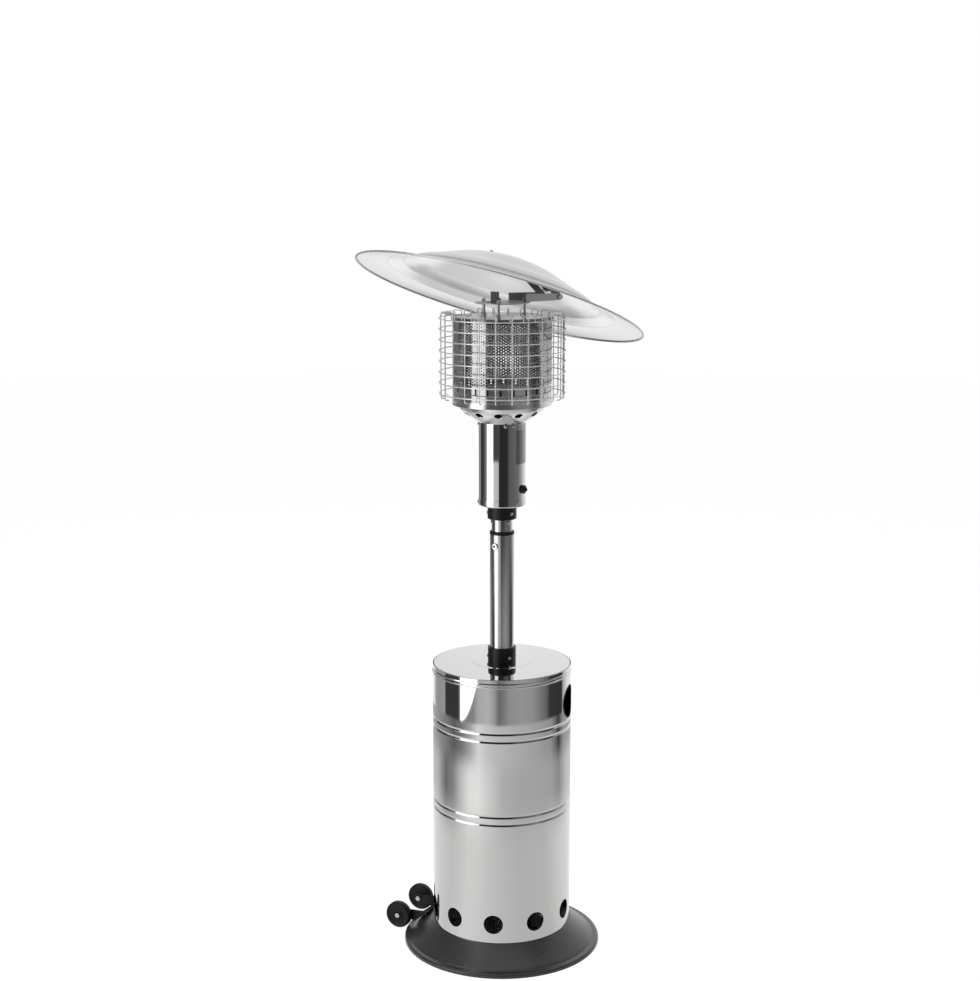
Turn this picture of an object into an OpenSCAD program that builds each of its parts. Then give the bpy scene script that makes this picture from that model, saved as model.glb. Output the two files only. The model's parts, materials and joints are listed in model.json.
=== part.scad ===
// Gas patio heater: weighted base on two tipping wheels, lift-up bottle housing,
// telescopic mast, burner head in a wire guard and a tilting round reflector.
// Origin: on the floor under the mast. +Z up, +X towards the side the reflector tips down to.

/* [Base] */
// Radius of the base where it meets the floor
base_r = 262.5; // [245:0.5:290]
// Width of the flat rim outside the cone
base_rim_w = 16; // [12:1:24]
// Height of the crease between the rim and the cone
base_rim_h = 11; // [9:0.5:14]
// Height of the ledge that the housing stands on
ledge_h = 60.3; // [54:0.1:66]
// Thickness of the base sheet
base_sheet_t = 1.5; // [1:0.1:2.5]
// Radius of the ballast block
ballast_r = 150; // [120:1:158]
// Radius of each tipping wheel
wheel_r = 36.5; // [32:0.5:38]
// Width of each tipping wheel
wheel_w = 22; // [16:1:26]
// Distance between the two wheel centres
wheel_span = 133; // [120:1:150]
// Distance of the wheel axle beyond the edge of the base
wheel_out = 16.5; // [13.5:0.5:20.5]
// Direction of the wheels seen from above, in degrees
wheel_turn = 116.5; // [110:0.5:125]

/* [Housing] */
// Outside radius of the bottle housing
housing_r = 183; // [180:0.5:190]
// Height of the bottle housing without its lid
housing_h = 711; // [680:1:740]
// Thickness of the housing sheet
housing_t = 1; // [0.8:0.1:1.5]
// Diameter of each vent hole
vent_d = 51; // [40:1:56]
// Height of the vent holes above the bottom edge
vent_rise = 51.5; // [45:0.5:60]
// Diameter of the hand hole that reaches the bottle valve
hand_hole_d = 88; // [80:1:92]
// Depth of the hand hole's centre below the top edge
hand_hole_drop = 92.5; // [88:0.5:100]
// Depth of the rolled beads
bead_depth = 2.4; // [1.5:0.1:3]
// Height of the lid's skirt
lid_skirt_h = 24; // [20:0.5:28]
// Height that the lid's centre stands above its edge
lid_rise = 4; // [2:0.5:8]

/* [Mast] */
// Outside radius of the outer mast tube
outer_r = 32; // [31:0.1:34]
// Outside radius of the inner mast tube
inner_r = 27.4; // [26:0.1:28]
// Wall of both mast tubes
mast_wall = 1.5; // [1:0.1:2]
// Length of the outer tube that shows above the housing
outer_show = 346; // [330:1:370]
// Length of bare inner tube under the head collar
neck_h = 32.6; // [28:0.1:40]
// Outside radius of the collar on the lid
lid_collar_r = 37; // [36.5:0.1:42]
// Height of the collar on the lid
lid_collar_h = 41.5; // [36:0.5:48]
// Outside radius of the collar under the burner body
head_collar_r = 38; // [36:0.5:42]
// Height of the collar under the burner body
head_collar_h = 35.9; // [32:0.1:42]

/* [Head] */
// Outside radius of the burner body
body_r = 61; // [58:0.5:64]
// Height of the burner body with its end cap
body_h = 218.3; // [205:0.1:240]
// Height of the end cap
end_cap_h = 20.3; // [16:0.1:24]
// Outside radius of the burner bowl's rim
bowl_r = 129; // [125:0.5:132]
// Height of the bowl below its rim
bowl_h = 45; // [38:0.5:52]
// Height of the bowl's rim band
bowl_rim_h = 16.5; // [12:0.5:20]
// Height of the perforated emitter above the bowl's rim
emitter_h = 210; // [195:1:225]
// Radius of the wire guard to the middle of its rings
guard_r = 162.3; // [158:0.1:168]
// Distance between the guard's rings
guard_pitch = 27.4; // [25:0.1:28]
// Radius of the guard's wire
wire_r = 1.4; // [1:0.1:1.8]
// Length of the studs between the emitter and the mount disc
stud_h = 33.3; // [30:0.1:40]
// Radius of the circle of studs
stud_circle_r = 61; // [56:0.5:66]

/* [Reflector] */
// Radius of the reflector
reflector_r = 380; // [360:1:400]
// Height of the reflector's dome above its rim
reflector_h = 109; // [104:1:114]
// Thickness of the reflector sheet
reflector_t = 0.8; // [0.6:0.1:1.2]
// Distance of the tilt pivot from the mast, as a share of the reflector's radius
pivot_share = 0.428947; // [0.415:0.001:0.442]
// Height of the tilt pivot above the mount disc
pivot_rise = 9; // [8:0.5:11]
// Width of the tilt bracket
bracket_w = 72; // [66:1:76]
// Tilt of the reflector from level, in degrees
tilt = 19.8; // [15:0.1:21]

/* [Controls] */
// Radius of the gas control knob
knob_r = 21; // [18:0.5:24]
// Depth of the gas control knob
knob_h = 20; // [16:0.5:24]
// Radius of the igniter's ring nut
igniter_r = 11; // [9:0.5:12]
// Length that the igniter button travels
igniter_travel = 5; // [3:0.5:6]
// Length that the knob and its stem are pushed in
stem_travel = 4; // [3:0.5:5]
// Radius of the threaded gas inlet
inlet_r = 6.58; // [5.5:0.01:8]

/* [Hidden] */
// Smoothness of round pieces
$fn = 96;
// Overrun that keeps cuts clean
cut = 1;
// Gap between seated pieces of one body
seat = 0.1;
// Gap between pieces of different bodies
clear = 0.3;
// Radial clearance of a shaft that slides or turns in its bore
run = 0.08;

// Fasteners: shank radius, head radius and head height
screw_r = 2.5;
screw_head_r = 4.4;
screw_head_h = 2.6;
bolt_r = 4;
bolt_head_r = 7.2;
bolt_head_h = 5;
nut_h = 6;
hex_sides = 6;

// Base
plate_t = 3;
hem_r = 3;
deck_h = ledge_h + 9.7 * ledge_h / 60.3;
ledge_w = 6;
cone_foot_r = base_r - base_rim_w;
ledge_out_r = housing_r + ledge_w / 2;
ledge_in_r = housing_r - housing_t - ledge_w / 3;
cone_sag = base_sheet_t;
cone_steps = 8;
wheel_floor_gap = 1.5;
wheel_z = wheel_r + wheel_floor_gap;
wheel_reach = base_r + wheel_out;
ear_t = 3;
ear_r = 12;
ear_gap = 0.6;
web_t = 3;
web_foot_share = 0.12;
web_head_share = 0.82;
ear_out_y = wheel_span / 2 - wheel_w / 2 - ear_gap;
hub_r = 14;
hub_depth = 3;
tyre_round = 4;

// Legs, crown and mast socket
leg_count = 3;
leg_r = 8;
leg_wall = 1.5;
leg_circle_r = housing_r - housing_t - leg_r - 2 * ledge_w / 2;
leg_plug_h = 25;
crown_drop = 24;
crown_t = 3;
crown_r = housing_r - housing_t - ledge_w;
housing_z = ledge_h + clear;
housing_top = housing_z + housing_h;
crown_top = housing_top - crown_drop;
crown_z = crown_top - crown_t;
leg_h = crown_z - deck_h;
hose_hole_r = 14;
hose_hole_reach = 80;
socket_flange_r = 60;
socket_flange_t = 4;
socket_wall = 4;
socket_depth = 58;
socket_z = crown_z - socket_depth;

// Mast
outer_z = socket_z;
outer_top = housing_top + outer_show;
outer_in_r = outer_r - mast_wall;
bush_h = 8;
bush_skirt_h = 20;
bush_lip = 0.4;
glide_h = 14;
inner_z = outer_z + 2 * bush_h;
inner_top = outer_top + bush_h + neck_h + head_collar_h - seat;
boss_r = 9;
boss_h = 4;
boss_drop = 29.4;
boss_turn = -164.3;
lock_r = 3.5;
lock_inset = 2;
collar_bolt_drop = 8;

// Housing details
bead_h = 9;
bead_gap = 21;
bead_low_share = 0.4705;
bead_high_share = 0.7849;
bead_steps = 8;
vent_count = 10;
vent_turn = 7.85;
hand_hole_turn = -54.8;
hand_rim_w = 2.5;
hand_rim_out = 1;
lid_t = 1;
lid_over = 0.4;
lid_round = 4;
lid_z = housing_top + seat;
lid_r = housing_r + lid_over + lid_t;
collar_z = lid_z + lid_t + lid_rise;
collar_screw_turn = -97.3;
collar_nut_t = 6;
screw_turns = 3;

// Head
head_z = outer_top + bush_h + neck_h;
body_z = head_z + head_collar_h;
body_top = body_z + body_h;
body_t = 1;
cap_t = 1.6;
cap_lip = 1;
bowl_t = 1;
bowl_neck_h = 17;
pair_turn = -110.5;
pair_spread = 10.5;
pair_drop = 5.4;
bowl_foot_r = body_r + 1.7 * body_t;
bowl_rim_z = body_top + bowl_h;
bowl_top = bowl_rim_z + bowl_rim_h;
bowl_hole_count = 12;
bowl_hole_turn = 15.2;
bowl_hole_l = 21;
bowl_hole_w = 15;
// Bowl wall as shares of its width beyond the body and of its height
bowl_wall_shares = [[0, 0], [0.43, 0.40], [0.66, 0.68], [0.735, 0.86], [0.76, 0.97]];
emitter_gap = 0.5;
emitter_t = 1;
emitter_r = bowl_r - bowl_t - emitter_gap;
emitter_z = bowl_rim_z + bowl_t + seat;
emitter_top = bowl_top + emitter_h;
slot_count = 24;
slot_turn = 4;
slot_w = 4.5;
slot_h = 19;
slot_rise = 18;
cap_skirt_h = 12;
top_cap_t = 1.4;
top_cap_r = emitter_r + emitter_gap + top_cap_t;
top_cap_z = emitter_top - top_cap_t;

// Wire guard
ring_count = 8;
wire_count = 24;
wire_turn = -0.3;
weld = 0.05;
guard_wire_r = guard_r - 2 * wire_r - weld;
guard_bend = 5;
guard_top_z = emitter_top - guard_bend;
guard_low_z = guard_top_z - (ring_count - 1) * guard_pitch;
wire_rise = 9;
wire_hold = 8;
wire_top_z = emitter_top + wire_rise;
wire_end_r = top_cap_r + wire_r + weld;
wire_end_z = emitter_top - wire_hold;
hook_drop = 13;
hook_in = 11;

// Burner inside the body and the emitter
valve_w = 38;
valve_h = 36;
valve_z = body_z + 0.14 * body_h;
stem_z = valve_z + valve_h / 2;
inlet_l = 16;
pipe_r = 5;
venturi_r = 16;
venturi_z = valve_z + 0.42 * body_h;
burner_r = 78;
burner_h = 34;
burner_z = bowl_top - 0.4 * bowl_rim_h;
port_count = 24;
port_r = 2.5;
probe_r = 1.6;
probe_reach = burner_r + 8;
probe_z = body_top + 0.37 * bowl_h;
probe_top = burner_z + burner_h;
switch_w = 26;
switch_h = 20;
switch_reach = sqrt(pow(body_r - body_t - seat, 2) - pow(switch_w / 2, 2));

// Controls
knob_turn = 36;
stem_r = 4;
stem_gap = 3;
stem_seat_r = 0.05 * valve_w;
knob_gap = stem_travel + 2;
knob_skirt_r = knob_r + 4;
knob_skirt_h = 4;
knob_flutes = 12;
knob_flute_r = 3.6;
knob_face = body_r + stem_gap + knob_gap;
igniter_turn = -69.3;
igniter_z = stem_z - 0.012 * body_h;
igniter_nut_h = 6;
igniter_body_r = 8.5;
igniter_body_l = 32;
button_r = 5;
button_out = 13;

// Tilt mount
disc_t = 2;
disc_r = stud_circle_r + 9.5;
disc_z = emitter_top + stud_h;
disc_top = disc_z + disc_t;
stud_r = 4;
stud_end_r = 3;
stud_count = 3;
stud_turn = -18.3;
stud_tail = 8;
flange_r = 8.5;
flange_h = 1.6;
bracket_t = 1.8;
bracket_back = 50;
bracket_h = 20.5;
bracket_tip_r = 8.5;
pivot_z = disc_top + pivot_rise;
pivot_reach = pivot_share * reflector_r;
tab_x = -24.5;
tab_w = 26;
tab_h = 27.5;
tab_t = 7;
tab_foot = 14;
tab_bolt_y = -9;
tab_bolt_rise = 8;

// Reflector
level_gap = clear;
hem_wire_r = 2.5;
pivot_drop = 57.7;
rim_z = pivot_z - pivot_drop;
// Dome outline as shares of the reflector's radius and height, from the rim inwards
dome_shares = [[0.993, 0.01], [0.9, 0.09], [0.79, 0.15], [0.775, 0.165], [0.69, 0.265],
    [0.675, 0.295], [0.587, 0.455], [0.57, 0.475], [0.5, 0.562], [0.43, 0.66], [0.36, 0.762],
    [0.29, 0.846], [0.22, 0.907], [0.14, 0.958], [0.07, 0.988], [0, 1]];
dome_table = [for (p = dome_shares) [p[0] * reflector_r, p[1] * reflector_h]];
arm_half = bracket_w / 2 - bracket_t - 0.7;
arm_t = 2.5;
arm_back = 30;
arm_front = 104;
arm_ear_r = 9;
arm_lean = 22.2;
catch_back = 74;
catch_front = 55;
catch_w = 16;
catch_t = 2;
catch_screw_x = (catch_back + catch_front) / 2;

// Ring with a plain bore
module ring(r_out, r_in, h) {
    difference() {
        cylinder(r = r_out, h = h);
        translate([0, 0, -cut]) cylinder(r = r_in, h = h + 2 * cut);
    }
}

// Hexagon nut on a shank
module nut(r_bore, r_hex, h) {
    difference() {
        cylinder(r = r_hex, h = h, $fn = hex_sides);
        translate([0, 0, -cut]) cylinder(r = r_bore, h = h + 2 * cut);
    }
}

// Round-headed screw: head above z = 0, shank below
module screw(shank, r = screw_r, head_r = screw_head_r, head_h = screw_head_h) {
    rotate_extrude()
        polygon([[0, -shank], [r, -shank], [r, 0], [head_r, 0], [head_r, head_h / 2],
            [0.7 * head_r, 0.9 * head_h], [0, head_h]]);
}

// Hexagon-headed bolt: head above z = 0, shank below
module hex_bolt(shank, r = bolt_r, head_r = bolt_head_r, head_h = bolt_head_h) {
    cylinder(r = head_r, h = head_h, $fn = hex_sides);
    translate([0, 0, -shank]) cylinder(r = r, h = shank);
}

// Copies its children round the mast
module around(count, turn = 0) {
    for (k = [0 : count - 1]) rotate(turn + k * 360 / count) children();
}

// Lays its children's +Z along the outward direction at an angle, height and distance
module facing(turn, z, reach) {
    rotate(turn) translate([reach, 0, z]) rotate([0, 90, 0]) children();
}

// Height of the cone at a share of its run from foot to ledge
function cone_point(u) = [
    cone_foot_r + u * (ledge_out_r - cone_foot_r),
    base_rim_h + hem_r + u * (ledge_h - base_rim_h - hem_r) - 4 * u * (1 - u) * cone_sag
];

// Outline of the base skirt's outer face, from the rim to the deck
function skirt_line(t) = concat(
    [[base_r - t, 0], [base_r - t, base_rim_h / 2 - t / 2],
        [base_r - base_rim_w / 4 - t, 0.85 * base_rim_h - t],
        [cone_foot_r - t / 2, base_rim_h - t]],
    [for (k = [0 : cone_steps]) cone_point(k / cone_steps) - [t, t]],
    [[ledge_in_r - t, ledge_h - t], [ledge_in_r - t, deck_h - t]]);

function reversed(list) = [for (k = [len(list) - 1 : -1 : 0]) list[k]];

module base_skirt() {
    color("dimgray") difference() {
        rotate_extrude()
            polygon(concat(skirt_line(0), [[0, deck_h], [0, deck_h - base_sheet_t]],
                reversed(skirt_line(base_sheet_t))));
        around(leg_count, ballast_turn())
            translate([ballast_bolt_r(), 0, deck_h - base_sheet_t - cut])
                cylinder(r = bolt_r + seat, h = base_sheet_t + 2 * cut);
        around(leg_count, leg_turn())
            translate([leg_circle_r, 0, deck_h - base_sheet_t - cut])
                cylinder(r = bolt_r + seat, h = base_sheet_t + 2 * cut);
        for (side = [-1, 1]) web_place() translate([0, side * web_screw_y(), -plate_t * 3])
            cylinder(r = screw_r + seat, h = plate_t * 6);
    }
}

function leg_turn() = vent_turn - 3.5 * 360 / vent_count;
function ballast_turn() = leg_turn() + 60;
function ballast_bolt_r() = 0.75 * ballast_r;

module floor_plate() {
    color("dimgray") cylinder(r = base_r - base_sheet_t - seat, h = plate_t);
}

module ballast_block() {
    color("gray") difference() {
        translate([0, 0, plate_t]) cylinder(r = ballast_r, h = deck_h - base_sheet_t - plate_t);
        around(leg_count, ballast_turn()) translate([ballast_bolt_r(), 0, deck_h / 2])
            cylinder(r = bolt_r + seat, h = deck_h);
    }
}

module ballast_bolts() {
    color("silver") around(leg_count, ballast_turn())
        translate([ballast_bolt_r(), 0, deck_h]) hex_bolt(deck_h / 2 - cut);
}

// Places its children on the cone under the wheels: +X up the slope, +Z out of it
module web_place() {
    foot = cone_point(0);
    head = cone_point(1);
    slope = atan2(head[1] - foot[1], foot[0] - head[0]);
    rotate(wheel_turn) translate([foot[0], 0, foot[1]]) rotate([0, -(180 - slope), 0])
        rotate([180, 0, 0]) translate([slope_run() / 2, 0, 0]) children();
}

function slope_run() = norm(cone_point(1) - cone_point(0));
function web_screw_y() = 0.62 * ear_out_y;

module wheel_bracket() {
    run_l = slope_run() * (web_head_share - web_foot_share);
    color("#202020") union() {
        difference() {
            web_place() translate([-run_l / 2, -ear_out_y, clear])
                cube([run_l, 2 * ear_out_y, web_t]);
            for (side = [-1, 1]) web_place()
                translate([0, side * web_screw_y(), -cut]) cylinder(r = screw_r + seat, h = 2 * plate_t);
        }
        for (side = [-1, 1]) wheel_ear(side);
    }
}

// One ear: from the web's edge out to the axle
module wheel_ear(side) {
    foot = cone_point(web_foot_share);
    head = cone_point(web_head_share);
    lift = [web_t / 2, web_t];
    rotate(wheel_turn)
        translate([0, side > 0 ? ear_out_y : -ear_out_y + ear_t, 0])
            rotate([90, 0, 0]) linear_extrude(ear_t)
                difference() {
                    union() {
                        translate([wheel_reach, wheel_z]) circle(ear_r);
                        polygon([foot + lift, [wheel_reach - 0.2 * ear_r, wheel_z - 0.98 * ear_r],
                            [wheel_reach, wheel_z], [wheel_reach - 0.1 * ear_r, wheel_z + 0.995 * ear_r],
                            head + lift]);
                    }
                    translate([wheel_reach, wheel_z]) circle(bolt_r + seat);
                }
}

module bracket_screws() {
    color("silver") for (side = [-1, 1]) web_place()
        translate([0, side * web_screw_y(), clear + web_t]) screw(2 * web_t);
}

// Places its children at a wheel's inner face: +Z outwards along the axle
module axle_place(side) {
    rotate(wheel_turn) translate([wheel_reach, side * ear_out_y, wheel_z])
        rotate([side > 0 ? -90 : 90, 0, 0]) children();
}

module wheel_bolts() {
    reach = wheel_w + ear_gap + clear - hub_depth;
    color("silver") for (side = [-1, 1]) axle_place(side)
        translate([0, 0, reach]) hex_bolt(reach + ear_t + nut_h + cut);
}

module wheel_nuts() {
    color("silver") for (side = [-1, 1]) axle_place(side)
        translate([0, 0, -ear_t - nut_h]) nut(bolt_r + seat, bolt_head_r, nut_h);
}

module wheel(side) {
    color("#181818") axle_place(side) translate([0, 0, ear_gap]) rotate_extrude()
        polygon([[bolt_r + run, 0], [hub_r, 0], [hub_r + hub_depth, hub_depth],
            [wheel_r - tyre_round - hub_depth, hub_depth], [wheel_r - tyre_round, 0],
            [wheel_r - tyre_round / 4, tyre_round / 4], [wheel_r, tyre_round],
            [wheel_r, wheel_w - tyre_round], [wheel_r - tyre_round / 4, wheel_w - tyre_round / 4],
            [wheel_r - tyre_round, wheel_w], [hub_r + hub_depth, wheel_w],
            [hub_r, wheel_w - hub_depth], [bolt_r + run, wheel_w - hub_depth]]);
}

module wheel_left() { wheel(1); }

module wheel_right() { wheel(-1); }

module support_leg(k) {
    color("silver") rotate(leg_turn() + k * 360 / leg_count)
        translate([leg_circle_r, 0, deck_h]) difference() {
            cylinder(r = leg_r, h = leg_h);
            translate([0, 0, leg_plug_h]) cylinder(r = leg_r - leg_wall, h = leg_h - 2 * leg_plug_h);
            translate([0, 0, -cut]) cylinder(r = bolt_r + seat, h = leg_plug_h + 2 * cut);
            translate([0, 0, leg_h - leg_plug_h - cut])
                cylinder(r = bolt_r + seat, h = leg_plug_h + 2 * cut);
        }
}

module support_leg_front() { support_leg(0); }

module support_leg_side() { support_leg(1); }

module support_leg_back() { support_leg(2); }

module leg_bolts() {
    shank = 0.8 * leg_plug_h;
    color("silver") around(leg_count, leg_turn()) translate([leg_circle_r, 0, 0]) {
        translate([0, 0, crown_top]) hex_bolt(shank + crown_t);
        translate([0, 0, deck_h - base_sheet_t]) mirror([0, 0, 1]) hex_bolt(shank + base_sheet_t);
    }
}

module mast_crown() {
    color("gainsboro") translate([0, 0, crown_z]) difference() {
        cylinder(r = crown_r, h = crown_t);
        translate([0, 0, -cut]) cylinder(r = outer_r + socket_wall + 2 * seat, h = crown_t + 2 * cut);
        around(leg_count, leg_turn()) translate([leg_circle_r, 0, -cut])
            cylinder(r = bolt_r + seat, h = crown_t + 2 * cut);
        around(4, 45) translate([socket_bolt_r(), 0, -cut])
            cylinder(r = screw_r + seat, h = crown_t + 2 * cut);
        rotate(leg_turn() + 60) translate([hose_hole_reach + hose_hole_r, 0, -cut])
            cylinder(r = hose_hole_r, h = crown_t + 2 * cut);
    }
}

function socket_bolt_r() = (socket_flange_r + outer_r + socket_wall) / 2;

module mast_socket() {
    color("silver") difference() {
        union() {
            translate([0, 0, crown_top]) cylinder(r = socket_flange_r, h = socket_flange_t);
            translate([0, 0, socket_z]) cylinder(r = outer_r + socket_wall, h = crown_top - socket_z + cut);
        }
        translate([0, 0, socket_z - cut])
            cylinder(r = outer_r + seat, h = crown_top - socket_z + socket_flange_t + 2 * cut);
        around(4, 45) translate([socket_bolt_r(), 0, crown_top - cut])
            cylinder(r = screw_r + seat, h = socket_flange_t + 2 * cut);
        around(screw_turns) facing(0, socket_z + socket_depth / 3, outer_r - cut)
            cylinder(r = screw_r + seat, h = socket_wall + 3 * cut);
    }
}

module socket_screws() {
    color("silver") {
        around(4, 45) translate([socket_bolt_r(), 0, crown_top + socket_flange_t])
            screw(socket_flange_t + 2 * crown_t);
        around(screw_turns) facing(0, socket_z + socket_depth / 3, outer_r + socket_wall + seat)
            screw(socket_wall);
    }
}

module outer_tube() {
    color("silver") difference() {
        translate([0, 0, outer_z]) ring(outer_r, outer_in_r, outer_top - outer_z);
        facing(boss_turn, outer_top - boss_drop, outer_in_r - cut)
            cylinder(r = lock_r + seat, h = mast_wall + 2 * cut);
    }
}

module tube_bush() {
    color("#202020") rotate_extrude() polygon([
        [inner_r + run, outer_top - bush_skirt_h], [outer_in_r - seat, outer_top - bush_skirt_h],
        [outer_in_r - seat, outer_top], [outer_r + bush_lip, outer_top],
        [outer_r + bush_lip, outer_top + 0.7 * bush_h], [outer_r - mast_wall, outer_top + bush_h],
        [inner_r + run, outer_top + bush_h]]);
}

module lock_boss() {
    color("white") difference() {
        facing(boss_turn, outer_top - boss_drop, outer_in_r) rotate_extrude()
            polygon([[lock_r + seat, 0], [boss_r, 0], [boss_r, mast_wall + 0.6 * boss_h],
                [0.85 * boss_r, mast_wall + boss_h], [lock_r + seat, mast_wall + boss_h]]);
        translate([0, 0, outer_z]) cylinder(r = outer_r + seat / 2, h = outer_top);
    }
}

module lock_screw() {
    reach = outer_r + boss_h - lock_inset;
    color("dimgray") facing(boss_turn, outer_top - boss_drop, inner_r + clear) difference() {
        cylinder(r = lock_r, h = reach - inner_r - clear);
        translate([0, 0, reach - inner_r - clear - lock_r])
            cylinder(r = lock_r / 2, h = lock_r + cut, $fn = hex_sides);
    }
}

// Bead outline: inward round-bottomed groove at one height
function bead_line(z, r, inwards) = [for (k = [0 : bead_steps])
    [r - inwards * bead_depth * (1 - cos(360 * k / bead_steps)) / 2,
        z + (k / bead_steps - 0.5) * bead_h]];

function bead_heights() = [for (share = [bead_low_share, bead_high_share], side = [-1, 1])
    housing_z + share * housing_h + side * bead_gap / 2];

function shell_line(r) = concat([[r, housing_z]],
    [for (z = bead_heights(), p = bead_line(z, r, 1)) p], [[r, housing_top]]);

module housing_shell() {
    color("silver") difference() {
        rotate_extrude() polygon(concat(shell_line(housing_r),
            reversed(shell_line(housing_r - housing_t))));
        around(vent_count, vent_turn) facing(0, housing_z + vent_rise, housing_r - bead_depth - 2 * cut)
            cylinder(r = vent_d / 2, h = bead_depth + 4 * cut);
        facing(hand_hole_turn, housing_top - hand_hole_drop, housing_r - 10 * bead_depth)
            cylinder(r = hand_hole_d / 2, h = 12 * bead_depth);
    }
}

module housing_lid() {
    edge = lid_r - lid_round;
    bore = outer_r + 2 * clear;
    color("white") rotate_extrude() polygon([
        [bore, lid_z + lid_rise], [edge, lid_z], [lid_r - lid_t, lid_z],
        [lid_r - lid_t, lid_z + lid_t - lid_skirt_h], [lid_r, lid_z + lid_t - lid_skirt_h],
        [lid_r, lid_z + lid_t - 0.48 * lid_skirt_h], [lid_r + lid_t / 2, lid_z + lid_t - 0.42 * lid_skirt_h],
        [lid_r + lid_t / 2, lid_z + lid_t - lid_round / 2], [lid_r, lid_z + lid_t],
        [edge, lid_z + lid_t], [bore, lid_z + lid_t + lid_rise]]);
}

module hand_hole_rim() {
    r = hand_hole_d / 2;
    reach = housing_r - r * r / housing_r / 2 - 2 * housing_t;
    color("#202020") intersection() {
        facing(hand_hole_turn, housing_top - hand_hole_drop, reach)
            ring(r - seat, r - hand_rim_w, r);
        translate([0, 0, housing_z])
            ring(housing_r + hand_rim_out, housing_r - housing_t - hand_rim_out, housing_h);
    }
}

module lid_collar() {
    color("#202020") difference() {
        translate([0, 0, collar_z]) rotate_extrude() polygon([
            [outer_r + run, 0], [lid_collar_r, 0], [lid_collar_r, lid_collar_h - lid_rise],
            [lid_collar_r - run, lid_collar_h - lid_rise],
            [outer_r + run, lid_collar_h - 1.5 * lid_rise]]);
        around(screw_turns, collar_screw_turn) facing(0, collar_screw_z(), outer_r)
            cylinder(r = screw_r + seat, h = lid_collar_r);
    }
}

function collar_screw_z() = collar_z + 0.3 * lid_collar_h;

module collar_screws() {
    shank = lid_collar_r - outer_r - clear;
    color("silver") around(screw_turns, collar_screw_turn)
        facing(0, collar_screw_z(), lid_collar_r + seat / 2) screw(shank);
}

module collar_ring() {
    color("#202020") translate([0, 0, lid_z + lid_rise - collar_nut_t]) difference() {
        cylinder(r = lid_collar_r, h = collar_nut_t - seat);
        translate([0, 0, -cut]) cylinder(r = outer_r + 2 * clear, h = collar_nut_t + 2 * cut);
    }
}

module inner_tube() {
    color("silver") difference() {
        translate([0, 0, inner_z]) ring(inner_r, inner_r - mast_wall, inner_top - inner_z);
        around(screw_turns, head_turn()) facing(0, tube_bolt_z(), inner_r - 2 * mast_wall)
            cylinder(r = screw_r + seat, h = 3 * mast_wall);
    }
}

module tube_glide() {
    color("#303030") translate([0, 0, inner_z - glide_h]) rotate_extrude() polygon([
        [inner_r - mast_wall, 0], [outer_in_r - run, 0], [outer_in_r - run, glide_h + bush_h],
        [inner_r + seat, glide_h + bush_h], [inner_r + seat, glide_h - seat],
        [inner_r - mast_wall, glide_h - seat]]);
}

function head_turn() = 30.7;
function tube_bolt_z() = head_z - collar_bolt_drop;

module tube_bolts() {
    color("silver") around(screw_turns, head_turn()) facing(0, tube_bolt_z(), inner_r + seat / 2)
        screw(2 * mast_wall);
}

module head_collar() {
    color("#202020") difference() {
        translate([0, 0, head_z]) rotate_extrude() polygon([
            [inner_r + seat, 0], [head_collar_r - mast_wall, 0], [head_collar_r, mast_wall],
            [head_collar_r, head_collar_h], [inner_r + seat, head_collar_h]]);
        around(screw_turns, head_turn()) facing(0, head_z + 0.45 * head_collar_h, inner_r - cut)
            cylinder(r = screw_r + seat, h = head_collar_r);
    }
}

module head_screws() {
    shank = head_collar_r - inner_r - seat;
    color("silver") around(screw_turns, head_turn())
        facing(0, head_z + 0.45 * head_collar_h, head_collar_r + seat / 2) screw(shank);
}

module end_cap() {
    lip = body_r + cap_lip;
    color("silver") difference() {
        translate([0, 0, body_z]) rotate_extrude() polygon([
            [pipe_gate_r(), 0], [lip - 2 * cap_t, 0], [lip, 2 * cap_t], [lip, end_cap_h],
            [body_r + seat / 2, end_cap_h], [body_r + seat / 2, cap_t], [pipe_gate_r(), cap_t]]);
        around(screw_turns, head_turn()) facing(0, body_z + end_cap_h / 2, body_r - cut)
            cylinder(r = screw_r + seat, h = cap_lip + 3 * cut);
    }
}

function pipe_gate_r() = inner_r - mast_wall;

module body_shell() {
    color("silver") difference() {
        translate([0, 0, body_z + cap_t])
            ring(body_r, body_r - body_t, body_h - cap_t - seat);
        facing(knob_turn, stem_z, 0) cylinder(r = stem_r + clear, h = body_r + 2 * cut);
        facing(igniter_turn, igniter_z, body_r - 3 * body_t)
            cylinder(r = igniter_body_r + seat, h = 5 * body_t);
        around(screw_turns, head_turn()) facing(0, body_z + end_cap_h / 2, body_r - 2 * cut)
            cylinder(r = screw_r + seat, h = 3 * cut);
        pair_places() translate([0, 0, -3 * body_t]) cylinder(r = screw_r + seat, h = 4 * body_t);
    }
}

// Three pairs of screws that hold the bowl's neck in the top of the body
module pair_places() {
    for (step = [-pair_spread, pair_spread])
        around(screw_turns, pair_turn + step) facing(0, body_top - pair_drop, body_r + seat / 2)
            children();
}

module body_screws() {
    color("silver") {
        pair_places() screw(3 * body_t);
        around(screw_turns, head_turn()) facing(0, body_z + end_cap_h / 2, body_r + cap_lip + seat / 2)
            screw(3 * body_t);
    }
}

module gas_valve() {
    color("goldenrod") {
        difference() {
            rotate(knob_turn) translate([-valve_w / 2, -valve_w / 2, valve_z])
                cube([valve_w, valve_w, valve_h]);
            facing(knob_turn, stem_z, stem_seat_r) cylinder(r = stem_r + run, h = valve_w);
        }
        translate([0, 0, body_z - inlet_l]) cylinder(r = inlet_r, h = inlet_l + valve_z - body_z + cut);
        translate([0, 0, body_z + cap_t]) cylinder(r = pipe_gate_r() + bolt_r, h = bolt_r);
        translate([0, 0, body_z + cap_t]) cylinder(r = 2 * inlet_r, h = valve_z - body_z - cap_t + cut);
    }
}

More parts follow.
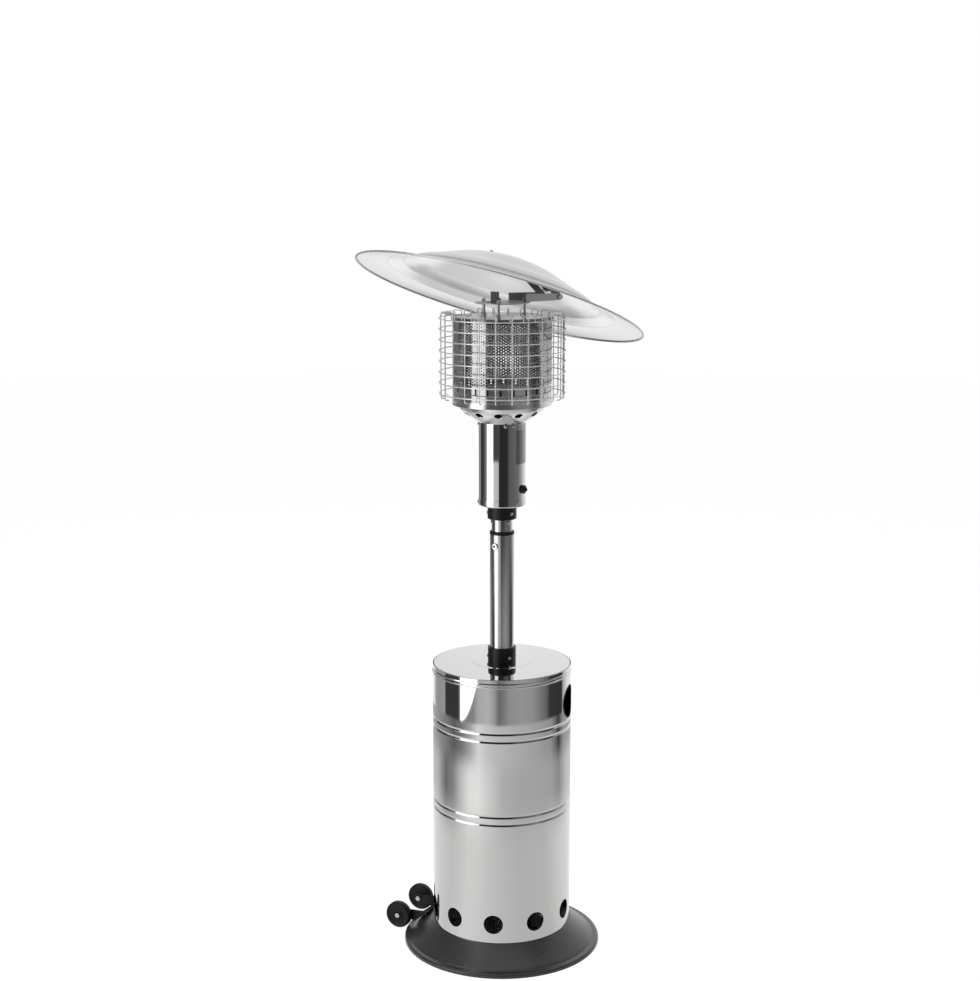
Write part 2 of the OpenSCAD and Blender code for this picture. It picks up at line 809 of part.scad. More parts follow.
module valve_stem() {
    foot = stem_seat_r + stem_travel + clear;
    color("goldenrod") facing(knob_turn, stem_z, foot)
        cylinder(r = stem_r, h = knob_face + 0.6 * knob_h - foot);
}

module control_knob() {
    socket = 0.6 * knob_h + seat;
    color("#202020") facing(knob_turn, stem_z, knob_face) difference() {
        union() {
            cylinder(r = knob_skirt_r, h = knob_skirt_h);
            linear_extrude(knob_h) difference() {
                circle(knob_r);
                around(knob_flutes) translate([knob_r + knob_flute_r / 2, 0]) circle(knob_flute_r);
            }
        }
        translate([0, 0, -cut]) cylinder(r = stem_r + run, h = socket + cut);
    }
}

module gas_pipe() {
    color("goldenrod") translate([0, 0, valve_z + valve_h])
        cylinder(r = pipe_r, h = venturi_z - valve_z - valve_h + venturi_r);
}

module burner_venturi() {
    color("silver") translate([0, 0, venturi_z]) rotate_extrude() polygon([
        [pipe_r + seat, 0], [1.4 * venturi_r, 0], [1.4 * venturi_r, venturi_r],
        [venturi_r, 2 * venturi_r], [venturi_r, burner_z - venturi_z],
        [venturi_r - 2 * body_t, burner_z - venturi_z], [venturi_r - 2 * body_t, 2 * venturi_r],
        [pipe_r + seat, venturi_r]]);
}

module burner_head() {
    color("silver") translate([0, 0, burner_z]) difference() {
        cylinder(r = burner_r, h = burner_h);
        translate([0, 0, 2 * body_t]) cylinder(r = burner_r - 2 * body_t, h = burner_h - 4 * body_t);
        translate([0, 0, -cut]) cylinder(r = venturi_r - 2 * body_t, h = 3 * body_t + cut);
        around(port_count) facing(0, burner_h / 2, burner_r - 4 * body_t)
            cylinder(r = port_r, h = 6 * body_t);
    }
}

module igniter_unit() {
    color("#202020") facing(igniter_turn, igniter_z, body_r) difference() {
        union() {
            translate([0, 0, seat / 2]) cylinder(r = igniter_r, h = igniter_nut_h);
            translate([0, 0, -igniter_body_l]) cylinder(r = igniter_body_r, h = igniter_body_l + cut);
        }
        translate([0, 0, -2 * igniter_travel]) cylinder(r = button_r + run, h = 4 * button_out);
    }
}

module igniter_button() {
    color("#101010") facing(igniter_turn, igniter_z, body_r) translate([0, 0, clear - igniter_travel])
        rotate_extrude() polygon([[0, 0], [button_r, 0], [button_r, igniter_travel + button_out - 2],
            [button_r - 1, igniter_travel + button_out - 1], [0, igniter_travel + button_out - clear]]);
}

module probe(turn, r) {
    rotate(turn) translate([probe_reach, 0, probe_z]) cylinder(r = r, h = probe_top - probe_z);
}

module spark_probe() { color("white") probe(igniter_turn, probe_r); }

module flame_probe() { color("goldenrod") probe(igniter_turn + 24, probe_r); }

module tilt_switch() {
    color("#303030") rotate(knob_turn + 90)
        translate([switch_reach - switch_w, -switch_w / 2, venturi_z - 2 * switch_h])
            cube([switch_w, switch_w, switch_h]);
}

// Bowl wall from the body's edge to its rim step
function bowl_line(t) = [for (p = bowl_wall_shares)
    [bowl_foot_r + p[0] * (bowl_r - bowl_foot_r) - t, body_top + p[1] * bowl_h + t]];

module burner_bowl() {
    rim_r = bowl_r;
    color("gainsboro") difference() {
        rotate_extrude() polygon(concat(
            [[bowl_foot_r - bowl_t, body_top]], bowl_line(0),
            [[rim_r - 1.5 * bowl_t, bowl_rim_z], [rim_r, bowl_rim_z + 1.5 * bowl_t], [rim_r, bowl_top],
                [rim_r - bowl_t, bowl_top], [rim_r - bowl_t, bowl_rim_z + bowl_t]],
            reversed(bowl_line(bowl_t)),
            [[venturi_r + clear, body_top + bowl_t], [venturi_r + clear, body_top],
                [body_r - 3 * body_t, body_top], [body_r - 3 * body_t, body_top - bowl_neck_h],
                [body_r - body_t - seat, body_top - bowl_neck_h], [body_r - body_t - seat, body_top]]));
        pair_places() translate([0, 0, -6 * body_t]) cylinder(r = screw_r + seat, h = 6 * body_t);
        around(bowl_hole_count, bowl_hole_turn) translate([bowl_hole_reach(), 0, body_top + bowl_h / 4])
            bowl_hole();
        for (turn = [igniter_turn, igniter_turn + 24]) rotate(turn)
            translate([probe_reach, 0, body_top]) cylinder(r = probe_r + clear, h = bowl_h);
    }
}

function bowl_hole_reach() = bowl_foot_r + 0.56 * (bowl_r - bowl_foot_r);

// Oval air hole, cut straight up through the sloping wall
module bowl_hole() {
    gap = (bowl_hole_l - bowl_hole_w) / 2;
    linear_extrude(bowl_h) union() {
        for (side = [-1, 1]) translate([0, side * gap]) circle(bowl_hole_w / 2);
        square([bowl_hole_w, 2 * gap], center = true);
    }
}

module emitter_screen() {
    color("silver") difference() {
        translate([0, 0, emitter_z])
            ring(emitter_r, emitter_r - emitter_t, top_cap_z - emitter_z - seat);
        around(slot_count, slot_turn) translate([emitter_r - 3 * emitter_t, -slot_w / 2, bowl_top + slot_rise])
            cube([6 * emitter_t, slot_w, slot_h]);
    }
}

module emitter_cap() {
    color("silver") difference() {
        translate([0, 0, emitter_top]) rotate_extrude() polygon([
            [0, -top_cap_t], [emitter_r + emitter_gap, -top_cap_t],
            [emitter_r + emitter_gap, -cap_skirt_h], [top_cap_r, -cap_skirt_h],
            [top_cap_r, -top_cap_t], [top_cap_r - top_cap_t, 0], [0, 0]]);
        stud_places() translate([0, 0, -cut]) cylinder(r = stud_end_r + seat, h = 3 * cut + top_cap_t,
            center = true);
    }
}

// Quarter turn of a guard wire around a point, seen from the side
module wire_bend(x, z, start) {
    translate([x, 0, z]) rotate([90, 0, 0]) rotate(start)
        rotate_extrude(angle = 90, $fn = 24) translate([guard_bend, 0]) circle(wire_r, $fn = 24);
}

// Guard wire seen from the side: x is the distance from the mast. Its upper end reaches over
// the cap's edge and down its skirt, its lower end turns in under the guard.
module guard_wire() {
    r = guard_wire_r;
    top = wire_top_z;
    low = guard_low_z - hook_drop;
    translate([wire_end_r, 0, wire_end_z])
        cylinder(r = wire_r, h = top - guard_bend - wire_end_z, $fn = 24);
    wire_bend(wire_end_r + guard_bend, top - guard_bend, 90);
    translate([wire_end_r + guard_bend, 0, top]) rotate([0, 90, 0])
        cylinder(r = wire_r, h = r - wire_end_r - 2 * guard_bend, $fn = 24);
    wire_bend(r - guard_bend, top - guard_bend, 0);
    translate([r, 0, low + guard_bend])
        cylinder(r = wire_r, h = top - low - 2 * guard_bend, $fn = 24);
    wire_bend(r - guard_bend, low + guard_bend, -90);
    translate([r - hook_in, 0, low]) rotate([0, 90, 0])
        cylinder(r = wire_r, h = hook_in - guard_bend, $fn = 24);
}

module guard_cage() {
    color("silver") {
        around(wire_count, wire_turn) guard_wire();
        for (k = [0 : ring_count - 1]) translate([0, 0, guard_low_z + k * guard_pitch])
            rotate_extrude() translate([guard_r, 0]) circle(wire_r, $fn = 24);
    }
}

module stud_places() {
    around(stud_count, stud_turn) translate([stud_circle_r, 0, emitter_top]) children();
}

module mount_studs() {
    color("silver") stud_places() rotate_extrude() polygon([
        [0, -stud_tail - top_cap_t], [stud_end_r, -stud_tail - top_cap_t], [stud_end_r, seat],
        [stud_r, seat], [stud_r, stud_h], [stud_end_r, stud_h],
        [stud_end_r, stud_h + disc_t + bracket_t + nut_h + cut],
        [0, stud_h + disc_t + bracket_t + nut_h + cut]]);
}

module stud_nuts() {
    color("white") for (k = [0 : stud_count - 1]) rotate(stud_turn + k * 360 / stud_count)
        translate([stud_circle_r, 0, emitter_top]) {
            lift = k == 0 ? bracket_t : 0;
            translate([0, 0, stud_h + disc_t + lift]) nut(stud_end_r + seat, 0.8 * bolt_head_r, nut_h);
            translate([0, 0, -top_cap_t - nut_h]) nut(stud_end_r + seat, 0.8 * bolt_head_r, nut_h);
            ring(flange_r, stud_r + seat, flange_h);
            translate([0, 0, flange_h]) nut(stud_r + seat, bolt_head_r, nut_h);
        }
}

module mount_disc() {
    color("gray") translate([0, 0, disc_z]) difference() {
        cylinder(r = disc_r, h = disc_t);
        around(stud_count, stud_turn) translate([stud_circle_r, 0, -cut])
            cylinder(r = stud_end_r + seat, h = disc_t + 2 * cut);
    }
}

module tilt_bracket() {
    length = pivot_reach - bracket_back;
    half = bracket_w / 2;
    color("gray") difference() {
        union() {
            translate([bracket_back, -half, disc_top]) cube([length - 2 * bracket_tip_r, bracket_w, bracket_t]);
            for (side = [-1, 1]) translate([0, side > 0 ? half : -half + bracket_t, 0])
                rotate([90, 0, 0]) linear_extrude(bracket_t) union() {
                    translate([pivot_reach, pivot_z]) circle(bracket_tip_r);
                    polygon([[bracket_back, disc_top], [pivot_reach, pivot_z - bracket_tip_r],
                        [pivot_reach, pivot_z + bracket_tip_r], [bracket_back, disc_top + bracket_h]]);
                }
        }
        pivot_place(0) translate([0, 0, -half - cut]) cylinder(r = bolt_r + run, h = bracket_w + 2 * cut);
        rotate(stud_turn) translate([stud_circle_r, 0, disc_top - cut])
            cylinder(r = stud_end_r + seat, h = bracket_t + 2 * cut);
    }
}

module stop_tab() {
    color("#303030") {
        translate([tab_x - tab_t / 2, -tab_w / 2, disc_top]) cube([tab_t, tab_w, tab_h]);
        translate([tab_x - tab_t / 2 - tab_foot, -tab_w / 2, disc_top])
            cube([tab_foot + cut, tab_w, bracket_t]);
        translate([tab_x + tab_t / 2 - cut, tab_bolt_y, disc_top + tab_bolt_rise]) rotate([0, 90, 0])
            cylinder(r = bolt_head_r / 2, h = nut_h + cut, $fn = hex_sides);
    }
}

// Places its children on the tilt pivot: +Z along -Y
module pivot_place(turn) {
    translate([pivot_reach, 0, pivot_z]) rotate([0, turn, 0]) rotate([90, 0, 0]) children();
}

module pivot_bolt() {
    half = bracket_w / 2;
    color("silver") pivot_place(0) {
        translate([0, 0, half]) hex_bolt(bracket_w + nut_h + cut);
        translate([0, 0, -half - nut_h]) nut(bolt_r + seat, bolt_head_r, nut_h);
    }
}

// Turns pieces drawn level by the reflector's tilt about its pivot
module tilted() {
    translate([pivot_reach, 0, pivot_z]) rotate([0, tilt, 0])
        translate([-pivot_reach, 0, -pivot_z]) children();
}

function dome_at(r) = lookup(r, [for (p = reversed(dome_table)) p]);
function leaf_top(s) = rim_z + dome_at(norm([s, arm_half])) - 1.4 * reflector_t - clear;

module reflector_dish() {
    color("whitesmoke") tilted() difference() {
        union() {
            translate([0, 0, rim_z]) rotate_extrude() polygon(concat(dome_table,
                reversed([for (p = dome_table) [max(0, p[0] - (p[0] > 0 ? reflector_t / 3 : 0)),
                    p[1] - reflector_t]])));
            translate([0, 0, rim_z]) rotate_extrude()
                translate([reflector_r - hem_wire_r, 0]) circle(hem_wire_r, $fn = 32);
        }
        reflector_screw_places() translate([0, 0, -20 * reflector_t])
            cylinder(r = screw_r + seat, h = 40 * reflector_t);
    }
}

// Four screws through the arm's leaf and one through the level catch
module reflector_screw_places() {
    for (s = [arm_back + 4 * screw_r, arm_front - 6 * screw_r], side = [-1, 1])
        translate([s, side * arm_half / 2, rim_z + dome_at(norm([s, arm_half / 2]))]) children();
    translate([-catch_screw_x, 0, rim_z + dome_at(catch_screw_x)]) children();
}

module reflector_screws() {
    color("silver") tilted() reflector_screw_places()
        translate([0, 0, 2 * reflector_t]) screw(12 * reflector_t);
}

module reflector_arm() {
    back = [arm_back, leaf_top(arm_back)];
    front = [arm_front, leaf_top(arm_front)];
    ear = [pivot_reach, pivot_z];
    edge = arm_ear_r * [sin(arm_lean), cos(arm_lean)];
    color("gray") tilted() difference() {
        union() {
            translate([0, arm_half, 0]) rotate([90, 0, 0]) linear_extrude(2 * arm_half)
                polygon([back, front, front - [0, arm_t], back - [0, arm_t]]);
            for (side = [-1, 1]) translate([0, side > 0 ? arm_half : -arm_half + arm_t, 0])
                rotate([90, 0, 0]) linear_extrude(arm_t) union() {
                    translate(ear) circle(arm_ear_r);
                    polygon([back, front, ear + edge, ear - edge, back - [0, arm_t]]);
                }
        }
        pivot_place(0) translate([0, 0, -bracket_w]) cylinder(r = bolt_r + run, h = 2 * bracket_w);
        reflector_screw_places() translate([0, 0, -20 * reflector_t])
            cylinder(r = screw_r + seat, h = 40 * reflector_t);
    }
}

module level_catch() {
    pad_top = rim_z + dome_at(catch_back) - 1.4 * reflector_t - clear;
    foot_z = disc_top + tab_h + level_gap;
    color("gray") tilted() translate([0, catch_w / 2, 0]) rotate([90, 0, 0]) difference() {
        linear_extrude(catch_w) polygon([
            [-catch_back, pad_top], [-catch_back, pad_top - catch_t],
            [-catch_front - catch_t, pad_top - catch_t], [-catch_front - catch_t, foot_z],
            [tab_x + tab_t / 2, foot_z], [tab_x + tab_t / 2, foot_z + catch_t],
            [-catch_front, foot_z + catch_t], [-catch_front, pad_top]]);
        translate([-catch_screw_x, pad_top + cut, catch_w / 2]) rotate([90, 0, 0])
            cylinder(r = screw_r + seat, h = catch_t + 2 * cut);
    }
}

base_skirt();
floor_plate();
ballast_block();
ballast_bolts();
wheel_bracket();
bracket_screws();
wheel_bolts();
wheel_nuts();
wheel_left();
wheel_right();
support_leg_front();
support_leg_side();
support_leg_back();
leg_bolts();
mast_crown();
mast_socket();
socket_screws();
outer_tube();
tube_bush();
lock_boss();
lock_screw();
housing_shell();
housing_lid();
hand_hole_rim();
lid_collar();
collar_screws();
collar_ring();
inner_tube();
tube_glide();
tube_bolts();
head_collar();
head_screws();
end_cap();
body_shell();
body_screws();
gas_valve();
valve_stem();
control_knob();
gas_pipe();
burner_venturi();
burner_head();
igniter_unit();
igniter_button();
spark_probe();
flame_probe();
tilt_switch();
burner_bowl();
emitter_screen();
emitter_cap();
guard_cage();
mount_studs();
stud_nuts();
mount_disc();
tilt_bracket();
stop_tab();
pivot_bolt();
reflector_dish();
reflector_arm();
level_catch();
reflector_screws();
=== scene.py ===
"""Gas patio heater: turned sheet-steel pieces, pierced sheet, bent wire and studio light,
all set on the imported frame. Metres, +Z up, floor at z = 0, mast on the Z axis."""

import json
import math

import bmesh
import bpy
from mathutils import Matrix, Vector

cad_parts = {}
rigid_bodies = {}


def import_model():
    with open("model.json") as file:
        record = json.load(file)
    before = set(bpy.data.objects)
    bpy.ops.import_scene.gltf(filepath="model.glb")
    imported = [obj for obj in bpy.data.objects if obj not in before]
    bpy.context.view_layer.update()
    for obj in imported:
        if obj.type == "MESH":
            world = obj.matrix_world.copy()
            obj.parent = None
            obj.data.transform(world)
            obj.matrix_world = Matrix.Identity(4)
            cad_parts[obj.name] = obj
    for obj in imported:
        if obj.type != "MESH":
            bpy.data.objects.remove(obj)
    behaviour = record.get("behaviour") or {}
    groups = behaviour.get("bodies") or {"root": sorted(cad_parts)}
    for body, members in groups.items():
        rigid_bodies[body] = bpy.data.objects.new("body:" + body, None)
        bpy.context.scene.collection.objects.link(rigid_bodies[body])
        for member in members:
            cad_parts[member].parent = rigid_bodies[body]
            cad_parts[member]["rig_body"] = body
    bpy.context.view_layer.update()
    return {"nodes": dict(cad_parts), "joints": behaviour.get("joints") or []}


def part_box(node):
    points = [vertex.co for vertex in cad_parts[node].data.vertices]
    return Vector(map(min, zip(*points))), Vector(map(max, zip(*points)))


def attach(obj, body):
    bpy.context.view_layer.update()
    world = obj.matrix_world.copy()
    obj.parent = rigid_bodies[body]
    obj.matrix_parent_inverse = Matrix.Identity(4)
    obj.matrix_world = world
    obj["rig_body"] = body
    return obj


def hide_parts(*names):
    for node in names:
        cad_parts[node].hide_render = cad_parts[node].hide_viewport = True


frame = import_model()
MM = 0.001
TURN = 2 * math.pi


# Sizes read from the frame


def radius_of(node):
    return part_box(node)[1].x


def levels_of(node):
    low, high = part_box(node)
    return low.z, high.z


def joint_of(name):
    return next(joint for joint in frame["joints"] if joint["name"] == name)


# Values that a shader works out over a surface


class Number:
    """A shader socket. Sums and products on it become Math nodes."""

    def __init__(self, graph, socket):
        self.graph = graph
        self.socket = socket

    def math(self, operation, other):
        return self.graph.node("Math", {0: self, 1: other}, operation=operation)

    def __add__(self, other):
        return self.math("ADD", other)

    def __sub__(self, other):
        return self.math("SUBTRACT", other)

    def __rsub__(self, other):
        return self.graph.node("Math", {0: other, 1: self}, operation="SUBTRACT")

    def __mul__(self, other):
        return self.math("MULTIPLY", other)

    def __truediv__(self, other):
        return self.math("DIVIDE", other)

    def __pow__(self, other):
        return self.math("POWER", other)

    __radd__ = __add__
    __rmul__ = __mul__


class Graph:
    """A tree of shader nodes, built by expressions."""

    def __init__(self, tree):
        self.tree = tree

    def feed(self, socket, value):
        """Links a number to the socket, or sets the socket's own value."""
        if isinstance(value, Number):
            self.tree.links.new(value.socket, socket)
        elif socket.type == "RGBA":
            socket.default_value = (*value, 1)
        else:
            socket.default_value = value

    def node(self, kind, inputs=None, output=0, stops=None, **settings):
        """A new node's output. Stops are the places and grey levels of a colour ramp."""
        node = self.tree.nodes.new("ShaderNode" + kind)
        for name, value in settings.items():
            setattr(node, name, value)
        if stops:
            ramp = node.color_ramp.elements
            while len(ramp) < len(stops):
                ramp.new(1)
            for element, (place, level) in zip(ramp, stops):
                element.position = place
                element.color = (level, level, level, 1)
        for name, value in (inputs or {}).items():
            self.feed(node.inputs[name], value)
        return Number(self, node.outputs[output])


class Finish(Graph):
    """A material, with the patterns that its finish is made of."""

    def __init__(self, name, **sockets):
        self.material = bpy.data.materials.new(name)
        self.material.use_nodes = True
        super().__init__(self.material.node_tree)
        self.shader = self.tree.nodes["Principled BSDF"]
        self.output = self.tree.nodes["Material Output"]
        for socket, value in sockets.items():
            self.set(socket.replace("_", " ").title().replace("Ior", "IOR"), value)

    def set(self, socket, value):
        self.feed(self.shader.inputs[socket], value)

    def place(self, scale=(1, 1, 1), location=(0, 0, 0), rotation=(0, 0, 0), kind="POINT"):
        coordinates = self.node("TexCoord", output="Object")
        return self.node("Mapping", {"Vector": coordinates, "Scale": scale,
            "Location": location, "Rotation": rotation}, vector_type=kind)

    def noise(self, vector, scale, detail=3, roughness=0.5):
        return self.node("TexNoise", {"Vector": vector, "Scale": scale, "Detail": detail,
            "Roughness": roughness})

    def between(self, value, low, high):
        """The value moved from 0..1 to low..high."""
        return value * (high - low) + low

    def tint(self, factor, dark, light):
        """A colour between two, by a factor."""
        return self.node("Mix", {0: factor, 6: dark, 7: light}, output=2, data_type="RGBA")

    def multiply(self, one, other):
        return self.node("Mix", {0: 1.0, 6: one, 7: other}, output=2, data_type="RGBA",
            blend_type="MULTIPLY")

    def bump(self, height, depth, strength=1):
        self.set("Normal", self.node("Bump", {"Height": height, "Distance": depth,
            "Strength": strength}))


# Finishes


def polished_steel(name, level, roughness, wave=0.00004):
    """Bright stainless sheet: faint polishing marks and a slow waver in its reflections."""
    finish = Finish(name, metallic=1)
    cloud = finish.noise(finish.place(), 9, 2)
    marks = finish.noise(finish.place((60, 60, 900)), 1, 2)
    finish.set("Base Color", finish.tint(cloud, [level * 0.96, level * 0.97, level * 0.96],
        [level * 1.03, level * 1.03, level * 1.01]))
    finish.set("Roughness", finish.between(marks * 0.5 + cloud * 0.5, roughness * 0.6,
        roughness * 1.5))
    finish.bump(cloud, wave)
    return finish.material


def sooty_steel():
    """The dull inner side of the sheets, painted near black for the shade inside them."""
    finish = Finish("sooty_steel", metallic=0.5)
    cloud = finish.noise(finish.place(), 60, 4, 0.6)
    finish.set("Base Color", finish.tint(cloud, (0.004, 0.004, 0.0035), (0.018, 0.017, 0.015)))
    finish.set("Roughness", finish.between(cloud, 0.55, 0.85))
    finish.bump(cloud, 0.0002)
    return finish.material


def satin_steel(name, level, roughness, across=1400, along=12, metallic=1):
    """Brushed steel: fine lines that run along Z."""
    finish = Finish(name, metallic=metallic)
    lines = finish.noise(finish.place((across, across, along)), 1, 2)
    cloud = finish.noise(finish.place(), 24, 2)
    finish.set("Base Color", finish.tint(lines, [level * 0.86] * 3, [level * 1.1] * 3))
    finish.set("Roughness", finish.between(lines * 0.6 + cloud * 0.4, roughness * 0.75,
        roughness * 1.3))
    finish.bump(lines, 0.00002)
    return finish.material


def zinc_plate(name, level=0.62, roughness=0.28):
    """Plated fasteners: bright, slightly mottled."""
    finish = Finish(name, metallic=1)
    mottle = finish.noise(finish.place(), 700, 3)
    finish.set("Base Color", finish.tint(mottle, [level * 0.8, level * 0.81, level * 0.82],
        [level * 1.15, level * 1.14, level * 1.1]))
    finish.set("Roughness", finish.between(mottle, roughness * 0.7, roughness * 1.4))
    return finish.material


def hammered_paint():
    """Dark grey hammertone: round dimples with brighter hollows."""
    finish = Finish("hammered_paint", coat_weight=0.6, coat_roughness=0.25,
        specular_ior_level=0.5)
    cells = finish.node("TexVoronoi", {"Vector": finish.place(), "Scale": 330},
        feature="SMOOTH_F1")
    mottle = finish.noise(finish.place(), 210, 4, 0.6)
    finish.set("Base Color", finish.tint(mottle, (0.012, 0.0125, 0.013), (0.05, 0.051, 0.053)))
    finish.set("Metallic", finish.between(mottle, 0.2, 0.5))
    finish.set("Roughness", finish.between(mottle, 0.3, 0.5))
    finish.bump(cells + mottle * 0.6, 0.0011, 0.8)
    return finish.material


def moulded_plastic(name, level, roughness):
    """Black plastic with a fine spark-eroded grain."""
    finish = Finish(name, specular_ior_level=0.25)
    grain = finish.noise(finish.place(), 1500, 3)
    wear = finish.noise(finish.place(), 30, 3)
    finish.set("Base Color", finish.tint(wear, [level * 0.7] * 3, [level * 1.35] * 3))
    finish.set("Roughness", finish.between(grain * 0.4 + wear * 0.6, roughness * 0.8,
        roughness * 1.2))
    finish.bump(grain, 0.00008, 0.6)
    return finish.material


def powder_coat(name, level, roughness):
    """Powder coat with a shallow orange-peel texture."""
    finish = Finish(name, specular_ior_level=0.3)
    peel = finish.noise(finish.place(), 520, 2)
    finish.set("Base Color", finish.tint(peel, [level * 0.85] * 3, [level * 1.2] * 3))
    finish.set("Roughness", finish.between(peel, roughness * 0.85, roughness * 1.15))
    finish.bump(peel, 0.00015, 0.7)
    return finish.material


def rolled_aluminium(name, centre, tilt, reach_out, steps, streak):
    """Reflector sheet: spun rings about the dish's own axis, painted shade in rings at its pressed
    steps and rim, and a streak of painted dark reflection in the step, on the side away from the
    front."""
    finish = Finish(name, metallic=1)
    local = finish.place(location=centre, rotation=(0, tilt, 0), kind="TEXTURE")
    flat = finish.node("VectorMath", {0: local, 1: (1, 1, 0)}, operation="MULTIPLY")
    reach = finish.node("VectorMath", {0: flat}, output="Value", operation="LENGTH")
    share = reach / reach_out
    # Painted shade: darker rings at the pressed steps and the rim, from the stops
    step_shading = finish.node("ValToRGB", {"Fac": share}, stops=steps)
    # Painted dark reflection: a streak in the step, on the side away from the front
    away = finish.node("VectorMath", {0: local, 1: (math.cos(AWAY), math.sin(AWAY), 0)},
        output="Value", operation="DOT_PRODUCT") / reach
    streak_shade_mask = finish.node("ValToRGB", {"Fac": share}, stops=[(0.6, 0), (0.64, 0.7), (0.672, 1),
        (0.69, 0.25), (0.7, 0)])
    shade = streak_shade_mask * away.math("MAXIMUM", 0) * streak
    rings = finish.node("TexNoise", {"W": reach, "Scale": 900, "Detail": 2},
        noise_dimensions="1D")
    cloud = finish.noise(local, 7, 3)
    smudge = finish.noise(local, 26, 4, 0.7)
    sheet = finish.multiply(step_shading, finish.tint(cloud * 0.6 + smudge * 0.4, (0.82, 0.825, 0.815),
        (0.92, 0.925, 0.915)))
    finish.set("Base Color", finish.multiply(sheet, 1 - shade))
    finish.set("Roughness", finish.between(cloud * 0.5 + smudge * 0.2 + rings * 0.3, 0.12, 0.3))
    finish.bump(rings * 0.3 + cloud, 0.00003)
    return finish.material


def machined_brass():
    finish = Finish("machined_brass", metallic=1)
    rings = finish.noise(finish.place((30, 30, 1500)), 1, 2)
    finish.set("Base Color", finish.tint(rings, (0.52, 0.36, 0.14), (0.74, 0.56, 0.26)))
    finish.set("Roughness", finish.between(rings, 0.22, 0.42))
    return finish.material


def white_ceramic():
    finish = Finish("white_ceramic", specular_ior_level=0.5)
    cloud = finish.noise(finish.place(), 140, 2)
    finish.set("Base Color", finish.tint(cloud, (0.66, 0.64, 0.58), (0.8, 0.79, 0.75)))
    finish.set("Roughness", finish.between(cloud, 0.25, 0.45))
    return finish.material


def cast_concrete():
    finish = Finish("cast_concrete")
    cloud = finish.noise(finish.place(), 45, 6, 0.7)
    finish.set("Base Color", finish.tint(cloud, (0.2, 0.195, 0.185), (0.46, 0.45, 0.42)))
    finish.set("Roughness", finish.between(cloud, 0.75, 0.95))
    finish.bump(cloud, 0.001)
    return finish.material


# Mesh tools


def turned(outline, steps):
    """A closed outline of (radius, height) points, spun round the Z axis."""
    form = bmesh.new()
    points = [form.verts.new((r, 0, z)) for r, z in outline]
    edges = [form.edges.new(pair) for pair in zip(points, points[1:] + points[:1])]
    bmesh.ops.spin(form, geom=points + edges, cent=(0, 0, 0), axis=(0, 0, 1), angle=TURN,
        steps=steps, use_merge=True)
    bmesh.ops.remove_doubles(form, verts=form.verts, dist=1e-7)
    bmesh.ops.recalc_face_normals(form, faces=form.faces)
    return form


def arc(centre_r, centre_z, radius, start, end, steps=6):
    """Points along an arc in the outline's plane. Angles in degrees from outwards to up."""
    angles = [math.radians(start + (end - start) * k / steps) for k in range(steps + 1)]
    return [(centre_r + radius * math.cos(a), centre_z + radius * math.sin(a)) for a in angles]


def eased(points, rounds=2):
    """An open outline with its corners cut, round after round."""
    for _ in range(rounds):
        cut = [points[0]]
        for (a, b), (c, d) in zip(points, points[1:]):
            cut += [(0.75 * a + 0.25 * c, 0.75 * b + 0.25 * d),
                (0.25 * a + 0.75 * c, 0.25 * b + 0.75 * d)]
        points = cut + [points[-1]]
    return points


def inner_side(outline, wall):
    """The outline moved inwards by the wall, in reverse order, to close a sheet."""
    moved = []
    for k, (r, z) in enumerate(outline):
        before = outline[max(0, k - 1)]
        after = outline[min(len(outline) - 1, k + 1)]
        run = Vector((after[0] - before[0], after[1] - before[1])).normalized()
        moved.append((max(0.0, r - run.y * wall), z + run.x * wall))
    return moved[::-1]


def scratch(form, name="scratch"):
    """An object of the form, in the scene and without a body."""
    mesh = bpy.data.meshes.new(name)
    form.to_mesh(mesh)
    thing = bpy.data.objects.new(name, mesh)
    bpy.context.scene.collection.objects.link(thing)
    return thing


def carved(form, tool):
    """The form with the tool's volume taken out."""
    solid = scratch(form)
    cutter = scratch(tool)
    change = solid.modifiers.new("carve", "BOOLEAN")
    change.operation = "DIFFERENCE"
    change.solver = "EXACT"
    change.object = cutter
    bpy.context.view_layer.update()
    result = bmesh.new()
    result.from_object(solid, bpy.context.evaluated_depsgraph_get())
    for thing in (solid, cutter):
        mesh = thing.data
        bpy.data.objects.remove(thing)
        bpy.data.meshes.remove(mesh)
    form.free()
    tool.free()
    return result


def facing(angle, height, reach):
    """Lays +Z along the outward direction at an angle in degrees."""
    return (Matrix.Rotation(math.radians(angle), 4, "Z") @ Matrix.Translation((reach, 0, height))
        @ Matrix.Rotation(math.pi / 2, 4, "Y"))


def rods(places, radius, length, sides=48, squeeze=(1, 1)):
    """Round cutters, one at each place, standing on its +Z."""
    form = bmesh.new()
    for place in places:
        shape = Matrix.Diagonal((*squeeze, 1, 1))
        bmesh.ops.create_cone(form, cap_ends=True, segments=sides, radius1=radius,
            radius2=radius, depth=length,
            matrix=place @ shape @ Matrix.Translation((0, 0, length / 2)))
    return form


def joined(forms):
    """Several forms as one."""
    whole = bmesh.new()
    for form in forms:
        mesh = bpy.data.meshes.new("part")
        form.to_mesh(mesh)
        form.free()
        whole.from_mesh(mesh)
        bpy.data.meshes.remove(mesh)
    return whole


